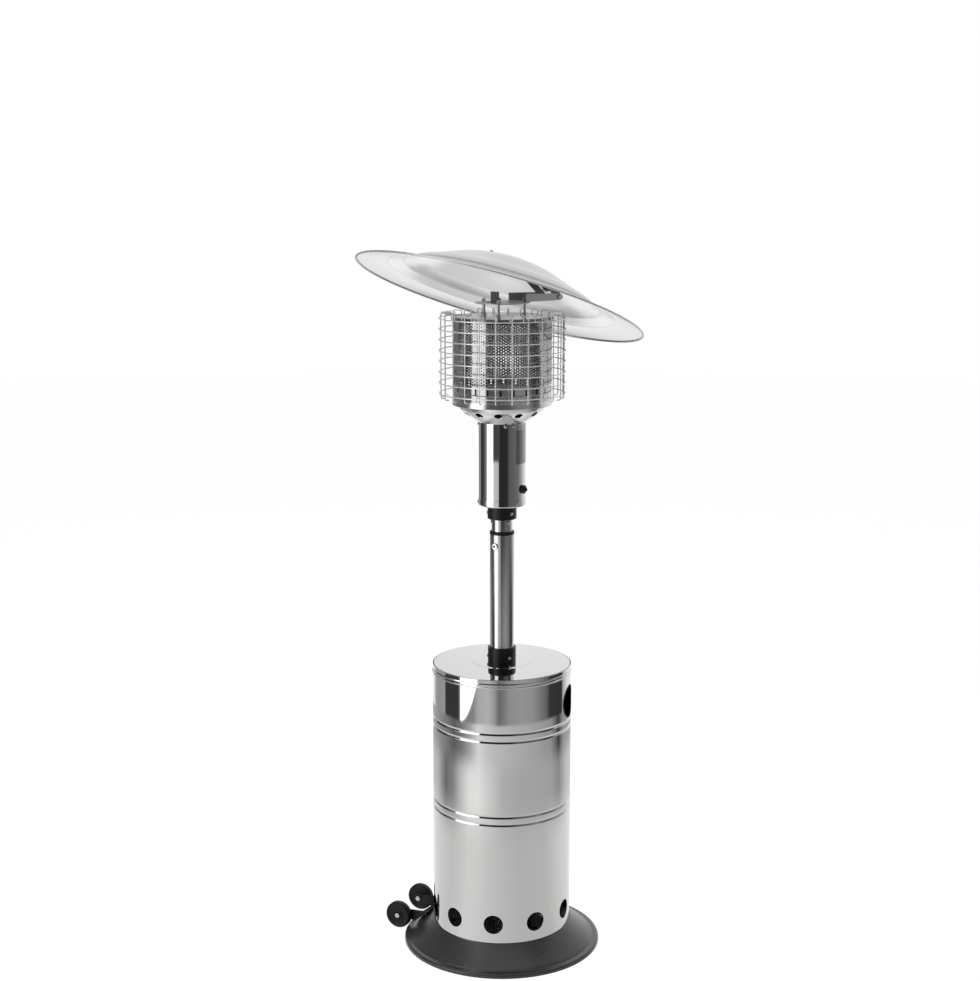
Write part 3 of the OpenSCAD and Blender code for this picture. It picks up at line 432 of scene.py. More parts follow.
def pierced_sheet(radius, low, high, pitch, hole, wall, start, end):
    """Staggered round holes in rolled sheet, between two angles in degrees.
    One six-sided cell is inset to its hole, copied by arrays, and rolled to the radius."""
    width = radius * math.radians(end - start)
    columns = 2 * round(width / pitch / math.sqrt(3))
    step = width / columns
    rows = math.ceil((high - low) / pitch) + 2
    cell = bmesh.new()
    for shift, lift in ((0, 0), (step, pitch / 2)):
        made = bmesh.ops.create_circle(cell, cap_ends=True, segments=6,
            radius=pitch / math.sqrt(3), matrix=Matrix.Translation((shift, lift, 0)))
        face = made["verts"][0].link_faces[0]
        bmesh.ops.subdivide_edges(cell, edges=face.edges[:], cuts=1)
        bmesh.ops.inset_individual(cell, faces=[face], thickness=pitch * 0.2)
        for vert in face.verts:
            out = vert.co - Vector((shift, lift, 0))
            vert.co = Vector((shift, lift, 0)) + out.normalized() * hole
        bmesh.ops.delete(cell, geom=[face], context="FACES")
    sheet = scratch(cell)
    cell.free()
    for name, count, shift in (("across", columns // 2 + 1, (2 * step, 0, 0)),
            ("up", rows, (0, pitch, 0))):
        copies = sheet.modifiers.new(name, "ARRAY")
        copies.count = count
        copies.use_relative_offset = False
        copies.use_constant_offset = True
        copies.constant_offset_displace = shift
    bpy.context.view_layer.update()
    form = bmesh.new()
    form.from_object(sheet, bpy.context.evaluated_depsgraph_get())
    mesh = sheet.data
    bpy.data.objects.remove(sheet)
    bpy.data.meshes.remove(mesh)
    bmesh.ops.translate(form, verts=form.verts, vec=(0, -pitch / 2, 0))
    bmesh.ops.remove_doubles(form, verts=form.verts, dist=pitch * 0.03)
    for point, way in (((0, 0, 0), (-1, 0, 0)), ((width, 0, 0), (1, 0, 0)),
            ((0, 0, 0), (0, -1, 0)), ((0, high - low, 0), (0, 1, 0))):
        bmesh.ops.bisect_plane(form, geom=form.verts[:] + form.edges[:] + form.faces[:],
            plane_co=point, plane_no=way, clear_outer=True)
    bmesh.ops.solidify(form, geom=form.faces[:], thickness=wall)
    top = max(vert.co.z for vert in form.verts)
    bmesh.ops.translate(form, verts=form.verts, vec=(0, 0, -top))
    for vert in form.verts:
        angle = math.radians(start) + vert.co.x / radius
        reach = radius + vert.co.z
        vert.co = Vector((reach * math.cos(angle), reach * math.sin(angle), low + vert.co.y))
    return form


def round_normals(mesh, sharp=32):
    """Normals of a turned piece: exact round the axis, averaged along the outline."""
    corners = {}
    flats = []
    limit = math.cos(math.radians(sharp))
    for face in mesh.polygons:
        centre = face.center
        reach = math.hypot(centre.x, centre.y) or 1
        out = (face.normal.x * centre.x + face.normal.y * centre.y) / reach
        side = (face.normal.y * centre.x - face.normal.x * centre.y) / reach
        turned_face = abs(side) < 0.25 and reach > 1e-4
        flats.append((out, face.normal.z) if turned_face else None)
        if not turned_face:
            continue
        for index in face.vertices:
            place = mesh.vertices[index].co
            key = (round(math.hypot(place.x, place.y), 5), round(place.z, 5))
            slope = (round(out, 3), round(face.normal.z, 3))
            meeting = corners.setdefault(key, {})
            meeting[slope] = meeting.get(slope, 0) + face.area
    normals = []
    for face, flat in zip(mesh.polygons, flats):
        for index in face.vertices:
            place = mesh.vertices[index].co
            reach = math.hypot(place.x, place.y)
            if flat is None or reach < 1e-5:
                normals.append(tuple(face.normal) if flat is None else (0, 0, face.normal.z))
                continue
            key = (round(reach, 5), round(place.z, 5))
            out = rise = 0
            for (a, b), area in corners[key].items():
                if a * flat[0] + b * flat[1] > limit:
                    out += a * area
                    rise += b * area
            blended = Vector((out * place.x / reach, out * place.y / reach, rise))
            normals.append(blended.normalized()[:])
    mesh.polygons.foreach_set("use_smooth", [True] * len(mesh.polygons))
    mesh.normals_split_custom_set(normals)


def inwards(normal, centre):
    """Whether a face looks towards the mast."""
    return normal.x * centre.x + normal.y * centre.y < -0.3 * math.hypot(*centre.xy)


def piece(name, form, material, body, replaces=(), smooth=35, turned_shape=False,
        lining=None, lined=inwards):
    """Makes a finished piece of a form and sets it on its body. The faces that pass the test
    take the lining."""
    mesh = bpy.data.meshes.new(name)
    form.to_mesh(mesh)
    form.free()
    mesh.materials.append(material)
    if lining:
        mesh.materials.append(lining)
        for face in mesh.polygons:
            face.material_index = int(lined(face.normal, face.center))
    if turned_shape:
        round_normals(mesh)
    else:
        mesh.polygons.foreach_set("use_smooth", [True] * len(mesh.polygons))
        mesh.set_sharp_from_angle(angle=math.radians(smooth))
    thing = bpy.data.objects.new(name, mesh)
    bpy.context.scene.collection.objects.link(thing)
    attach(thing, body)
    if replaces:
        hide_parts(*replaces)
    return thing


def dressed(node, material, edge):
    """A frame node's own shape with merged faces and softened edges."""
    source = frame["nodes"][node]
    form = bmesh.new()
    form.from_mesh(source.data)
    bmesh.ops.remove_doubles(form, verts=form.verts, dist=2e-6)
    bmesh.ops.dissolve_limit(form, angle_limit=math.radians(0.6), verts=form.verts,
        edges=form.edges)
    thing = piece(node + "_dressed", form, material, source["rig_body"], [node])
    if edge:
        soft = thing.modifiers.new("edges", "BEVEL")
        soft.width = edge
        soft.segments = 2
        soft.limit_method = "ANGLE"
        soft.angle_limit = math.radians(40)
        soft.use_clamp_overlap = True
        soft.harden_normals = True
    return thing


# Materials shared by the pieces

hinge = joint_of("reflector_tilt")
TILT = math.radians(-hinge["range_deg"][0])
PIVOT = Vector(hinge["pos_m"])
# From the pivot down to the plane of the reflector's rim
RIM_DROP = 57.7 * MM
DISH_R = 380 * MM
# Direction that points away from the front, in the reflector's own plane, where the painted dark
# reflection streak lies
AWAY = math.radians(50.7)
rim_centre = PIVOT + Matrix.Rotation(TILT, 3, "Y") @ Vector((-PIVOT.x, 0, -RIM_DROP))

housing_steel = polished_steel("housing_steel", 0.68, 0.03, 0.00006)
lid_steel = polished_steel("lid_steel", 0.68, 0.03)
body_steel = polished_steel("body_steel", 0.68, 0.035)
bowl_steel = satin_steel("bowl_steel", 0.74, 0.14, 40, 40)
emitter_steel = polished_steel("emitter_steel", 0.56, 0.06)
cap_steel = polished_steel("cap_steel", 0.33, 0.1)
mast_steel = satin_steel("mast_steel", 0.6, 0.16, 900, 18)
wire_chrome = satin_steel("wire_chrome", 0.86, 0.3, 200, 200, 0.7)
arm_steel = satin_steel("arm_steel", 0.2, 0.35, 300, 300, 0.7)
mount_steel = satin_steel("mount_steel", 0.48, 0.35, 300, 300, 0.7)
leg_steel = satin_steel("leg_steel", 0.5, 0.3)
zinc = zinc_plate("zinc")
bright_zinc = zinc_plate("bright_zinc", 0.8, 0.18)
base_paint = hammered_paint()
wheel_plastic = moulded_plastic("wheel_plastic", 0.006, 0.42)
black_plastic = moulded_plastic("black_plastic", 0.006, 0.4)
collar_black = powder_coat("collar_black", 0.007, 0.36)
bracket_black = powder_coat("bracket_black", 0.008, 0.4)
# Lit and shaded copies of one aluminium: the underside lighter with a painted dark streak, the top
# darker, both with painted shade rings
reflector_underside_shading = rolled_aluminium("rolled_aluminium", rim_centre, TILT, DISH_R, [(0, 1),
    (0.56, 1), (0.665, 1), (0.69, 0.92), (0.705, 1), (0.775, 1), (0.787, 0.86), (0.8, 0.95),
    (0.9, 0.9), (0.978, 0.88), (0.984, 0.55), (1, 0.5)], 0.5)
reflector_top_shading = rolled_aluminium("rolled_aluminium_top", rim_centre, TILT, DISH_R, [(0, 0.6),
    (0.5, 0.58), (0.62, 0.62), (0.65, 0.56), (0.675, 0.36), (0.76, 0.28), (0.795, 0.34),
    (0.825, 0.56), (0.9, 0.7), (1, 0.74)], 0)
# Darker steel for the hem: painted shade on the rolled edge's underside
hem_steel = satin_steel("hem_steel", 0.56, 0.35, 300, 300, 0.7)
tab_steel = satin_steel("tab_steel", 0.16, 0.35, 300, 300, 0.6)
brass = machined_brass()
ceramic = white_ceramic()
# Painted shade: the inner faces of the sheets, near black
painted_inner_shade = sooty_steel()
# Dark steel for the burner head and venturi inside the emitter: painted shade for the dark inside
burner_steel = satin_steel("burner_steel", 0.12, 0.45, 90, 90, 0.6)
concrete = cast_concrete()


# Base


def base_skirt():
    """Pressed skirt: a rolled rim, a slightly hollow cone and the ledge round the deck."""
    rim, top = radius_of("base_skirt"), levels_of("base_skirt")[1]
    ledge_z = levels_of("housing_shell")[0] - 0.3 * MM
    ledge_r = radius_of("housing_shell") + 3 * MM
    wall = 1.5 * MM
    crease_r = rim - 16 * MM
    cone = [(crease_r - 3 * MM + (ledge_r - crease_r + 3 * MM) * u,
        14.5 * MM + (ledge_z - 14.5 * MM) * u - 4 * u * (1 - u) * wall)
        for u in [k / 10 for k in range(11)]]
    outline = ([(rim, 0)] + arc(rim - 6.5 * MM, 4.6 * MM, 6.5 * MM, 0, 80, 6)
        + eased([(rim - 8 * MM, 10.9 * MM), (crease_r, 11.2 * MM), (crease_r - 2 * MM, 13.6 * MM)])
        + cone + [(ledge_r - 1 * MM, ledge_z + 0.05 * MM), (ledge_r - 5 * MM, ledge_z + 0.05 * MM),
            (ledge_r - 5.6 * MM, ledge_z + 0.8 * MM), (ledge_r - 5.6 * MM, top - 1.5 * MM),
            (ledge_r - 7 * MM, top), (0, top)])
    form = turned(outline + [(0, top - wall)] + inner_side(outline[:-1], wall), 160)
    piece("base_skirt_pressed", form, base_paint, "base_frame", ["base_skirt"])


def wheels():
    """Two moulded wheels: a crowned tread, a dished hub and a rim bead."""
    for node, body, side in (("wheel_left", "wheel_l", 1), ("wheel_right", "wheel_r", -1)):
        spin = joint_of(node + "_spin")
        centre = Vector(spin["pos_m"])
        outer = 36.5 * MM
        half = 11 * MM
        bore = 4.2 * MM
        outline = ([(bore, -half), (14 * MM, -half), (16 * MM, -half + 2.4 * MM),
            (24 * MM, -half + 2.4 * MM), (26 * MM, -half + 1 * MM)]
            + arc(outer - 7 * MM, -half + 7 * MM, 7 * MM, -90, -8, 8)
            + arc(outer - 7 * MM, half - 7 * MM, 7 * MM, 8, 90, 8)
            + [(26 * MM, half - 1 * MM), (24 * MM, half - 2.4 * MM), (16 * MM, half - 2.4 * MM),
                (13 * MM, half - 0.4 * MM), (11 * MM, half - 0.4 * MM), (9.6 * MM, half - 3 * MM),
                (bore, half - 3 * MM)])
        form = turned(outline, 72)
        turn = Vector((0, 0, 1)).rotation_difference(Vector(spin["axis"]) * side).to_matrix()
        bmesh.ops.transform(form, matrix=Matrix.Translation(centre) @ turn.to_4x4(),
            verts=form.verts)
        piece(node + "_moulded", form, wheel_plastic, body, [node], smooth=28)


# Housing


def housing_shell():
    """Rolled sheet with four grooves, round vents and the hand hole."""
    r = radius_of("housing_shell")
    low, high = levels_of("housing_shell")
    wall = 1 * MM
    grooves = [385.3 * MM, 406.2 * MM, 608.6 * MM, 629.8 * MM]
    vent_r, vent_count, vent_turn = 25.5 * MM, 10, 7.85
    hand_hole_r, hand_hole_turn = 44 * MM, -54.8
    outline = [(r, low), (r, low + 200 * MM)]
    for z in grooves:
        outline += eased([(r, z - 5.2 * MM), (r, z - 4.6 * MM), (r - 2.1 * MM, z - 0.3 * MM),
            (r - 2.1 * MM, z + 0.3 * MM), (r, z + 4.6 * MM), (r, z + 5.2 * MM)])
        outline += [(r, z + 7 * MM)]
    outline += [(r, high)]
    form = turned(outline + inner_side(outline, wall), 240)
    vents = rods([facing(vent_turn + 360 / vent_count * k, low + 51.5 * MM, r - 8 * MM)
        for k in range(vent_count)], vent_r, 14 * MM, 64)
    form = carved(form, vents)
    hand_hole = rods([facing(hand_hole_turn, high - 92.5 * MM, r - 24 * MM)], hand_hole_r,
        40 * MM, 72)
    form = carved(form, hand_hole)
    piece("housing_sheet", form, housing_steel, "housing", ["housing_shell"],
        turned_shape=True, lining=painted_inner_shade)


def housing_lid():
    """Shallow domed lid: a raised middle, a gently rounded shoulder and a lower bead."""
    low, high = levels_of("housing_lid")
    r = radius_of("housing_lid")
    bore = 32.6 * MM
    edge = high - 4.2 * MM
    top = [(bore, high), (60 * MM, high - 0.05 * MM), (74 * MM, high - 0.1 * MM),
        (77.2 * MM, high - 0.2 * MM), (82.2 * MM, high - 1.72 * MM), (84 * MM, high - 1.76 * MM),
        (110 * MM, high - 1.8 * MM), (140 * MM, high - 2.9 * MM), (165 * MM, edge + 0.5 * MM),
        (r - 5.2 * MM, edge)]
    shoulder = arc(r - 5.6 * MM, edge - 0.5 * MM, 0.5 * MM, 80, 10, 3)
    shoulder += arc(r - 6 * MM, edge - 2.4 * MM, 1.4 * MM, 70, 36, 3)
    shoulder += arc(r - 38.65 * MM, edge - 22 * MM, 38.8 * MM, 30, 14, 8)
    shoulder += arc(r - 2 * MM, edge - 13 * MM, 1.1 * MM, 10, -70, 4)
    bead = arc(r - 3.2 * MM, low + 3.4 * MM, 2.7 * MM, 62, -60, 8)
    outline = top + shoulder + [(r - 2.6 * MM, edge - 15.2 * MM)] + bead
    inner = [(r - 3.4 * MM, low + 1 * MM), (r - 3.6 * MM, edge - 12 * MM),
        (r - 8 * MM, edge - 1.8 * MM), (bore, high - 1.2 * MM)]
    piece("lid_pressed", turned(outline + inner, 240), lid_steel, "housing",
        ["housing_lid"], turned_shape=True)


def lid_collar():
    """Black collar with a rounded upper edge."""
    r = radius_of("lid_collar")
    low, high = levels_of("lid_collar")
    bore = 32.1 * MM
    outline = ([(bore, low), (r, low)] + arc(r - 1.2 * MM, high - 1.2 * MM, 1.2 * MM, 0, 90, 4)
        + [(bore + 0.4 * MM, high - 0.2 * MM), (bore, high - 1.5 * MM)])
    piece("lid_collar_turned", turned(outline, 96), collar_black, "housing",
        ["lid_collar"])


# Mast


def mast_tubes():
    """Outer and inner tube, satin along their length."""
    wall = 1.5 * MM
    rim = 0.4 * MM
    for node in ("outer_tube", "inner_tube"):
        r = radius_of(node)
        low, high = levels_of(node)
        outline = [(r - wall, low), (r, low), (r, high - rim), (r - rim, high), (r - wall, high)]
        body = frame["nodes"][node]["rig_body"]
        piece(node + "_drawn", turned(outline, 128), mast_steel, body, [node],
            turned_shape=True)


# Burner body

# Pitch of the staggered holes, and their radius in the emitter and in the body
HOLE_PITCH = 7.3 * MM
HOLE_R = 2.25 * MM
BODY_HOLE_R = 2.65 * MM


def body_shell():
    """Rolled sheet, pierced at its upper end between two angles."""
    r = radius_of("end_cap") - 1 * MM
    low, high = levels_of("body_shell")
    wall = 1 * MM
    pierced_low, pierced_high = high - 105 * MM, high - 2 * MM
    start, end = -93.0, -20.0
    plain = turned([(r - wall, low), (r, low), (r, pierced_low), (r - wall, pierced_low)], 128)
    ring = turned([(r - wall, pierced_high), (r, pierced_high), (r, high),
        (r - wall, high)], 128)
    back = bmesh.new()
    edge = [back.verts.new(p) for p in ((r - wall, 0, pierced_low), (r, 0, pierced_low),
        (r, 0, pierced_high), (r - wall, 0, pierced_high))]
    rim = back.faces.new(edge)
    bmesh.ops.rotate(back, verts=back.verts, matrix=Matrix.Rotation(math.radians(end), 3, "Z"))
    bmesh.ops.spin(back, geom=[rim], cent=(0, 0, 0), axis=(0, 0, 1),
        angle=math.radians(360 - (end - start)), steps=96)
    bmesh.ops.recalc_face_normals(back, faces=back.faces)
    piece("body_sheet", joined([plain, ring, back]), body_steel, "head",
        ["body_shell"], turned_shape=True, lining=painted_inner_shade)
    grille = pierced_sheet(r, pierced_low, pierced_high, HOLE_PITCH, BODY_HOLE_R, wall, start,
        end)
    piece("body_grille", grille, body_steel, "head", turned_shape=True,
        lining=painted_inner_shade)


def end_cap():
    """Drawn cup round the foot of the burner body."""
    r = radius_of("end_cap")
    low, high = levels_of("end_cap")
    outline = ([(26 * MM, low)] + arc(r - 4.5 * MM, low + 4.5 * MM, 4.5 * MM, -88, 0, 8)
        + [(r, high - 0.6 * MM), (r - 0.3 * MM, high), (r - 0.9 * MM, high),
            (r - 0.9 * MM, low + 1.6 * MM), (26 * MM, low + 1.6 * MM)])
    piece("end_cap_drawn", turned(outline, 128), body_steel, "head", ["end_cap"],
        turned_shape=True)


def burner_bowl():
    """Spun bowl with twelve air holes and a straight rim band."""
    low, high = levels_of("burner_bowl")
    body_top = high - 61.5 * MM
    rim_z = high - 16.5 * MM
    rim = radius_of("burner_bowl")
    wall = 1 * MM
    foot = 62.7 * MM
    flare = 45 * MM
    hole_count, hole_turn, hole_reach = 12, 15.2, 99.8 * MM
    shares = [(0, 0), (0.12, 0.1), (0.43, 0.40), (0.66, 0.68), (0.735, 0.86), (0.76, 0.97)]
    curve = eased([(foot + a * (rim - foot), body_top + b * flare) for a, b in shares])
    band = ([(rim - 2 * MM, rim_z)] + arc(rim - 1.5 * MM, rim_z + 1.5 * MM, 1.5 * MM, -80, 0, 4)
        + [(rim, high - 0.6 * MM), (rim - 0.4 * MM, high)])
    outline = [(60.2 * MM, body_top + 0.02 * MM)] + curve + band
    inner = inner_side(curve + band[:-2], wall)
    form = turned(outline + [(rim - wall, high)] + inner + [(60.2 * MM, body_top + wall)], 192)
    holes = rods([Matrix.Rotation(math.radians(hole_turn + 360 / hole_count * k), 4, "Z")
        @ Matrix.Translation((hole_reach, 0, body_top + 5 * MM)) for k in range(hole_count)],
        1, flare, 40, (7.5 * MM, 10.5 * MM))
    form = carved(form, holes)
    neck = turned([(58 * MM, low), (59.9 * MM, low), (59.9 * MM, body_top),
        (58 * MM, body_top)], 128)
    floor = turned([(16.4 * MM, body_top), (60 * MM, body_top), (60 * MM, body_top + wall),
        (16.4 * MM, body_top + wall)], 128)
    piece("bowl_spun", joined([form, neck, floor]), bowl_steel, "head",
        ["burner_bowl"], turned_shape=True, lining=painted_inner_shade)


def emitter():
    """Slotted lower band, pierced screen in two halves, plain upper band."""
    r = radius_of("emitter_screen")
    low, high = levels_of("emitter_screen")
    wall = 1 * MM
    pierced_low, pierced_high = high - 168.3 * MM, high - 11 * MM
    lower = turned([(r - wall, low), (r, low), (r, pierced_low), (r - wall, pierced_low)], 192)
    slots = bmesh.new()
    slot_count, slot_turn = 24, 4
    for k in range(slot_count):
        place = (Matrix.Rotation(math.radians(slot_turn + 360 / slot_count * k), 4, "Z")
            @ Matrix.Translation((r, 0, low + 43 * MM))
            @ Matrix.Diagonal((8 * MM, 4.5 * MM, 19 * MM, 1)))
        bmesh.ops.create_cube(slots, size=1, matrix=place)
    upper = turned([(r - wall, pierced_high), (r, pierced_high), (r, high),
        (r - wall, high)], 192)
    piece("emitter_bands", joined([carved(lower, slots), upper]), emitter_steel, "head",
        ["emitter_screen"], turned_shape=True, lining=painted_inner_shade)
    seam_turn = -125.3
    for k, name in enumerate(("emitter_mesh_a", "emitter_mesh_b")):
        start = seam_turn + 180 * k
        half = pierced_sheet(r, pierced_low, pierced_high, HOLE_PITCH, HOLE_R, wall, start,
            start + 180)
        piece(name, half, emitter_steel, "head", turned_shape=True,
            lining=painted_inner_shade)


def emitter_cap():
    """Pressed cap with a shallow step near its edge."""
    r = radius_of("emitter_cap")
    low, high = levels_of("emitter_cap")
    outline = ([(0, high), (r - 12 * MM, high), (r - 10 * MM, high - 0.5 * MM),
        (r - 3 * MM, high - 0.5 * MM)]
        + arc(r - 1.6 * MM, high - 1.6 * MM, 1.6 * MM, 80, 0, 5)
        + [(r, low), (r - 1.3 * MM, low), (r - 1.4 * MM, high - 1.8 * MM), (0, high - 1.6 * MM)])
    piece("emitter_cap_pressed", turned(outline, 192), cap_steel, "head",
        ["emitter_cap"], turned_shape=True)


# Wire guard


def wire(name, paths, radius, material, body, closed=False, replaces=()):
    """Bent wire as bevelled curves along the paths."""
    curve = bpy.data.curves.new(name, "CURVE")
    curve.dimensions = "3D"
    curve.bevel_depth = radius
    curve.bevel_resolution = 3
    curve.use_fill_caps = True
    for path in paths:
        spline = curve.splines.new("POLY")
        spline.points.add(len(path) - 1)
        for point, place in zip(spline.points, path):
            point.co = (*place, 1)
        spline.use_cyclic_u = closed
    bent = bpy.data.objects.new(name + "_curve", curve)
    bpy.context.scene.collection.objects.link(bent)
    bpy.context.view_layer.update()
    form = bmesh.new()
    mesh = bpy.data.meshes.new_from_object(bent.evaluated_get(
        bpy.context.evaluated_depsgraph_get()))
    form.from_mesh(mesh)
    bpy.data.meshes.remove(mesh)
    bpy.data.objects.remove(bent)
    bmesh.ops.remove_doubles(form, verts=form.verts, dist=1e-6)
    bmesh.ops.recalc_face_normals(form, faces=form.faces)
    return piece(name, form, material, body, replaces, smooth=60)


def guard_cage():
    """Eight rings, and uprights that bend over the emitter's cap and hook in at their feet."""
    low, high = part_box("guard_cage")
    ring_count, ring_pitch = 8, 27.4 * MM
    wire_count, wire_turn = 24, -0.3
    outside = high.x
    wire_r = 1.6 * MM
    ring_r = outside - wire_r
    upright_r = ring_r - 2 * wire_r
    top = high.z - wire_r
    bottom = low.z + wire_r
    bend = 5 * MM
    hook = 11 * MM
    cap_top = levels_of("emitter_cap")[1]
    rings = []
    for k in range(ring_count):
        z = cap_top - 5 * MM - k * ring_pitch
        rings.append([(ring_r * math.cos(a), ring_r * math.sin(a), z)
            for a in [TURN * j / 144 for j in range(144)]])
    wire("guard_rings", rings, wire_r, wire_chrome, "head", closed=True,
        replaces=["guard_cage"])
    end_r = radius_of("emitter_cap") + wire_r + 0.05 * MM
    end_z = cap_top - 8 * MM
    side = ([(end_r, end_z)] + arc(end_r + bend, top - bend, bend, 180, 90, 6)
        + arc(upright_r - bend, top - bend, bend, 90, 0, 6)
        + arc(upright_r - bend, bottom + bend, bend, 0, -90, 6)
        + [(upright_r - hook, bottom)])
    uprights = []
    for k in range(wire_count):
        a = math.radians(wire_turn + 360 / wire_count * k)
        uprights.append([(r * math.cos(a), r * math.sin(a), z) for r, z in side])
    wire("guard_uprights", uprights, wire_r, wire_chrome, "head")


# Reflector


def reflector_dish():
    """Spun dish with a pressed step, and a rolled hem round its rim."""
    rim = DISH_R
    height = 109 * MM
    sheet = 0.8 * MM
    shares = [(0.993, 0.01), (0.9, 0.09), (0.8, 0.145), (0.79, 0.15), (0.772, 0.17),
        (0.765, 0.175), (0.7, 0.25), (0.69, 0.262), (0.675, 0.3), (0.668, 0.312), (0.6, 0.435),
        (0.587, 0.455), (0.57, 0.475), (0.5, 0.562), (0.43, 0.66), (0.36, 0.762),
        (0.29, 0.846), (0.22, 0.907), (0.14, 0.958), (0.07, 0.988), (0, 1)]
    outside = eased([(a * rim, b * height) for a, b in shares])
    inside = [(r, z - sheet) for r, z in outside][::-1]
    form = turned(outside + inside, 256)
    hem = turned(arc(rim - 2.55 * MM, 0, 2.5 * MM, 0, 348, 29), 256)
    leaning = Matrix.Translation(rim_centre) @ Matrix.Rotation(TILT, 4, "Y")
    for part in (form, hem):
        bmesh.ops.transform(part, matrix=leaning, verts=part.verts)
    upwards = leaning.to_3x3() @ Vector((0, 0, 1))
    # The dish's top faces take the darker copy as painted shade, the underside the lighter one
    piece("reflector_spun", form, reflector_underside_shading, "reflector",
        ["reflector_dish"], smooth=40, lining=reflector_top_shading,
        lined=lambda normal, centre: normal.dot(upwards) > 0)
    # The hem's outer upper faces take the top's finish; the rest is the darker hem steel, painted
    # shade
    piece("reflector_hem", hem, hem_steel, "reflector", smooth=60,
        lining=reflector_top_shading,
        lined=lambda normal, centre: normal.dot(centre - rim_centre) > 0
        and normal.dot(upwards) > 0.35)


# The pieces that are modelled here

base_skirt()
wheels()
housing_shell()
housing_lid()
lid_collar()
mast_tubes()
body_shell()
end_cap()
burner_bowl()
emitter()
emitter_cap()
guard_cage()
reflector_dish()

# Small pieces keep the frame's own shapes
SMALL_PIECES = {
    zinc: ["ballast_bolts", "bracket_screws", "wheel_bolts", "wheel_nuts", "leg_bolts",
        "socket_screws", "collar_screws", "tube_bolts", "head_screws", "body_screws",
        "pivot_bolt", "reflector_screws", "mount_studs"],
    bright_zinc: ["stud_nuts", "lock_boss"],
    bracket_black: ["wheel_bracket"],
    leg_steel: ["support_leg_front", "support_leg_side", "support_leg_back", "mast_crown",
        "mast_socket"],
    burner_steel: ["burner_venturi", "burner_head"],
    black_plastic: ["tube_bush", "tube_glide", "hand_hole_rim", "control_knob", "igniter_unit",
        "igniter_button", "tilt_switch"],
    collar_black: ["collar_ring", "head_collar", "lock_screw"],
    mount_steel: ["mount_disc", "tilt_bracket"],
    arm_steel: ["reflector_arm"],
    tab_steel: ["stop_tab", "level_catch"],
    brass: ["gas_valve", "valve_stem", "gas_pipe", "flame_probe"],
    ceramic: ["spark_probe"],
    concrete: ["ballast_block"],
    base_paint: ["floor_plate"],
}
SHARP_PIECES = ("floor_plate", "mount_studs")
for material, nodes in SMALL_PIECES.items():
    for node in nodes:
        dressed(node, material, 0 if node in SHARP_PIECES else 0.3 * MM)


# Studio

CAMERA_PLACE = Vector((-2.8097, -3.4328, 2.0249))
CAMERA_TURN = 38.894
CAMERA_DIP = 10.144
FOCAL_LENGTH = 63.63
WALL_REACH = 2.2
WALL_HEIGHT = 5
FLOOR_REACH = 14
# The level that a band's 1 in the colour ramps stands for
FULL_LEVEL = 2.5
# Levels round the studio by azimuth from the camera in degrees: on the wall low down, at head
# height, and in the two zones above that the bowl's rim and the emitter mirror
LOW_BANDS = [(-180, 1.0), (-150, 1.0), (-146, 0.9), (-139, 0.45), (-124, 0.38),
    (-106, 0.42), (-103, 0.05), (-74, 0.05), (-71, 0.3), (-58, 0.28), (-46, 0.32), (-38, 0.55),
    (-22, 0.62), (-12, 0.45), (-5, 0.2), (3, 0.26), (12, 0.38), (32, 0.42), (50, 0.38),
    (64, 0.26), (78, 0.15), (82, 0.05), (114, 0.04), (118, 0.5), (128, 0.8), (135, 1.0),
    (180, 1.0)]
HIGH_BANDS = [(-180, 1.0), (-160, 1.0), (-158, 0.08), (-148, 0.1), (-146, 0.45), (-132, 0.42),
    (-127, 0.06), (-104, 0.05), (-98, 0.12), (-88, 0.2), (-81, 0.4), (-76, 2.2), (-45, 2.2),
    (-43, 0.85), (-36, 0.75), (-18, 0.65), (-14, 0.03), (18, 0.03), (28, 0.05), (34, 0.13),
    (60, 0.16), (84, 0.2), (104, 0.4), (114, 0.65), (135, 0.9), (150, 1.0), (180, 1.0)]
RIM_BANDS = [(-180, 1.0), (-165, 0.9), (-152, 0.3), (-98, 0.2), (-76, 0.08), (-71, 1.4),
    (-39, 1.4), (-36, 0.14), (0, 0.16), (16, 0.2), (25, 0.3), (62, 0.34), (74, 0.1), (92, 0.12),
    (98, 0.7), (130, 0.9), (180, 1.0)]
TOP_BANDS = [(-180, 1.0), (-165, 0.9), (-152, 0.35), (-125, 0.35), (-110, 0.12), (-98, 0.05),
    (-74, 0.05), (-69, 1.75), (-39, 1.75), (-36, 0.03), (16, 0.03), (25, 0.12), (62, 0.16),
    (74, 0.05), (92, 0.08), (98, 0.7), (130, 0.9), (180, 1.0)]
# The same for three rings of the floor
FAR_FLOOR = [(-180, 0.6), (-128, 0.4), (-102, 0.28), (-83, 0.15), (-66, 0.25), (-52, 0.5),
    (-37, 0.95), (-24, 0.8), (-11, 0.7), (14, 0.62), (40, 0.55), (85, 0.4), (105, 0.05),
    (120, 0.4), (180, 0.6)]
MID_FLOOR = [(-180, 0.7), (-128, 0.62), (-102, 0.2), (-83, 0.33), (-66, 0.76), (-52, 1.06),
    (-37, 1.08), (-24, 0.9), (-11, 0.75), (1, 0.61), (27, 0.54), (85, 0.5), (105, 0.36),
    (130, 0.7), (180, 0.7)]
NEAR_FLOOR = [(-180, 0.7), (-163, 0.7), (-152, 0.95), (-128, 0.9), (-83, 0.75), (-66, 0.8),
    (-52, 0.88), (-37, 0.87), (-24, 0.8), (-11, 0.74), (1, 0.69), (27, 0.63), (68, 0.65),
    (105, 0.85), (152, 0.95), (163, 0.7), (180, 0.7)]
# Heights at which one zone of the wall blends into the next
LOW_TO_HIGH = (0.25, 0.8)
HIGH_TO_RIM = (1.13, 1.19)
RIM_TO_TOP = (1.27, 1.33)
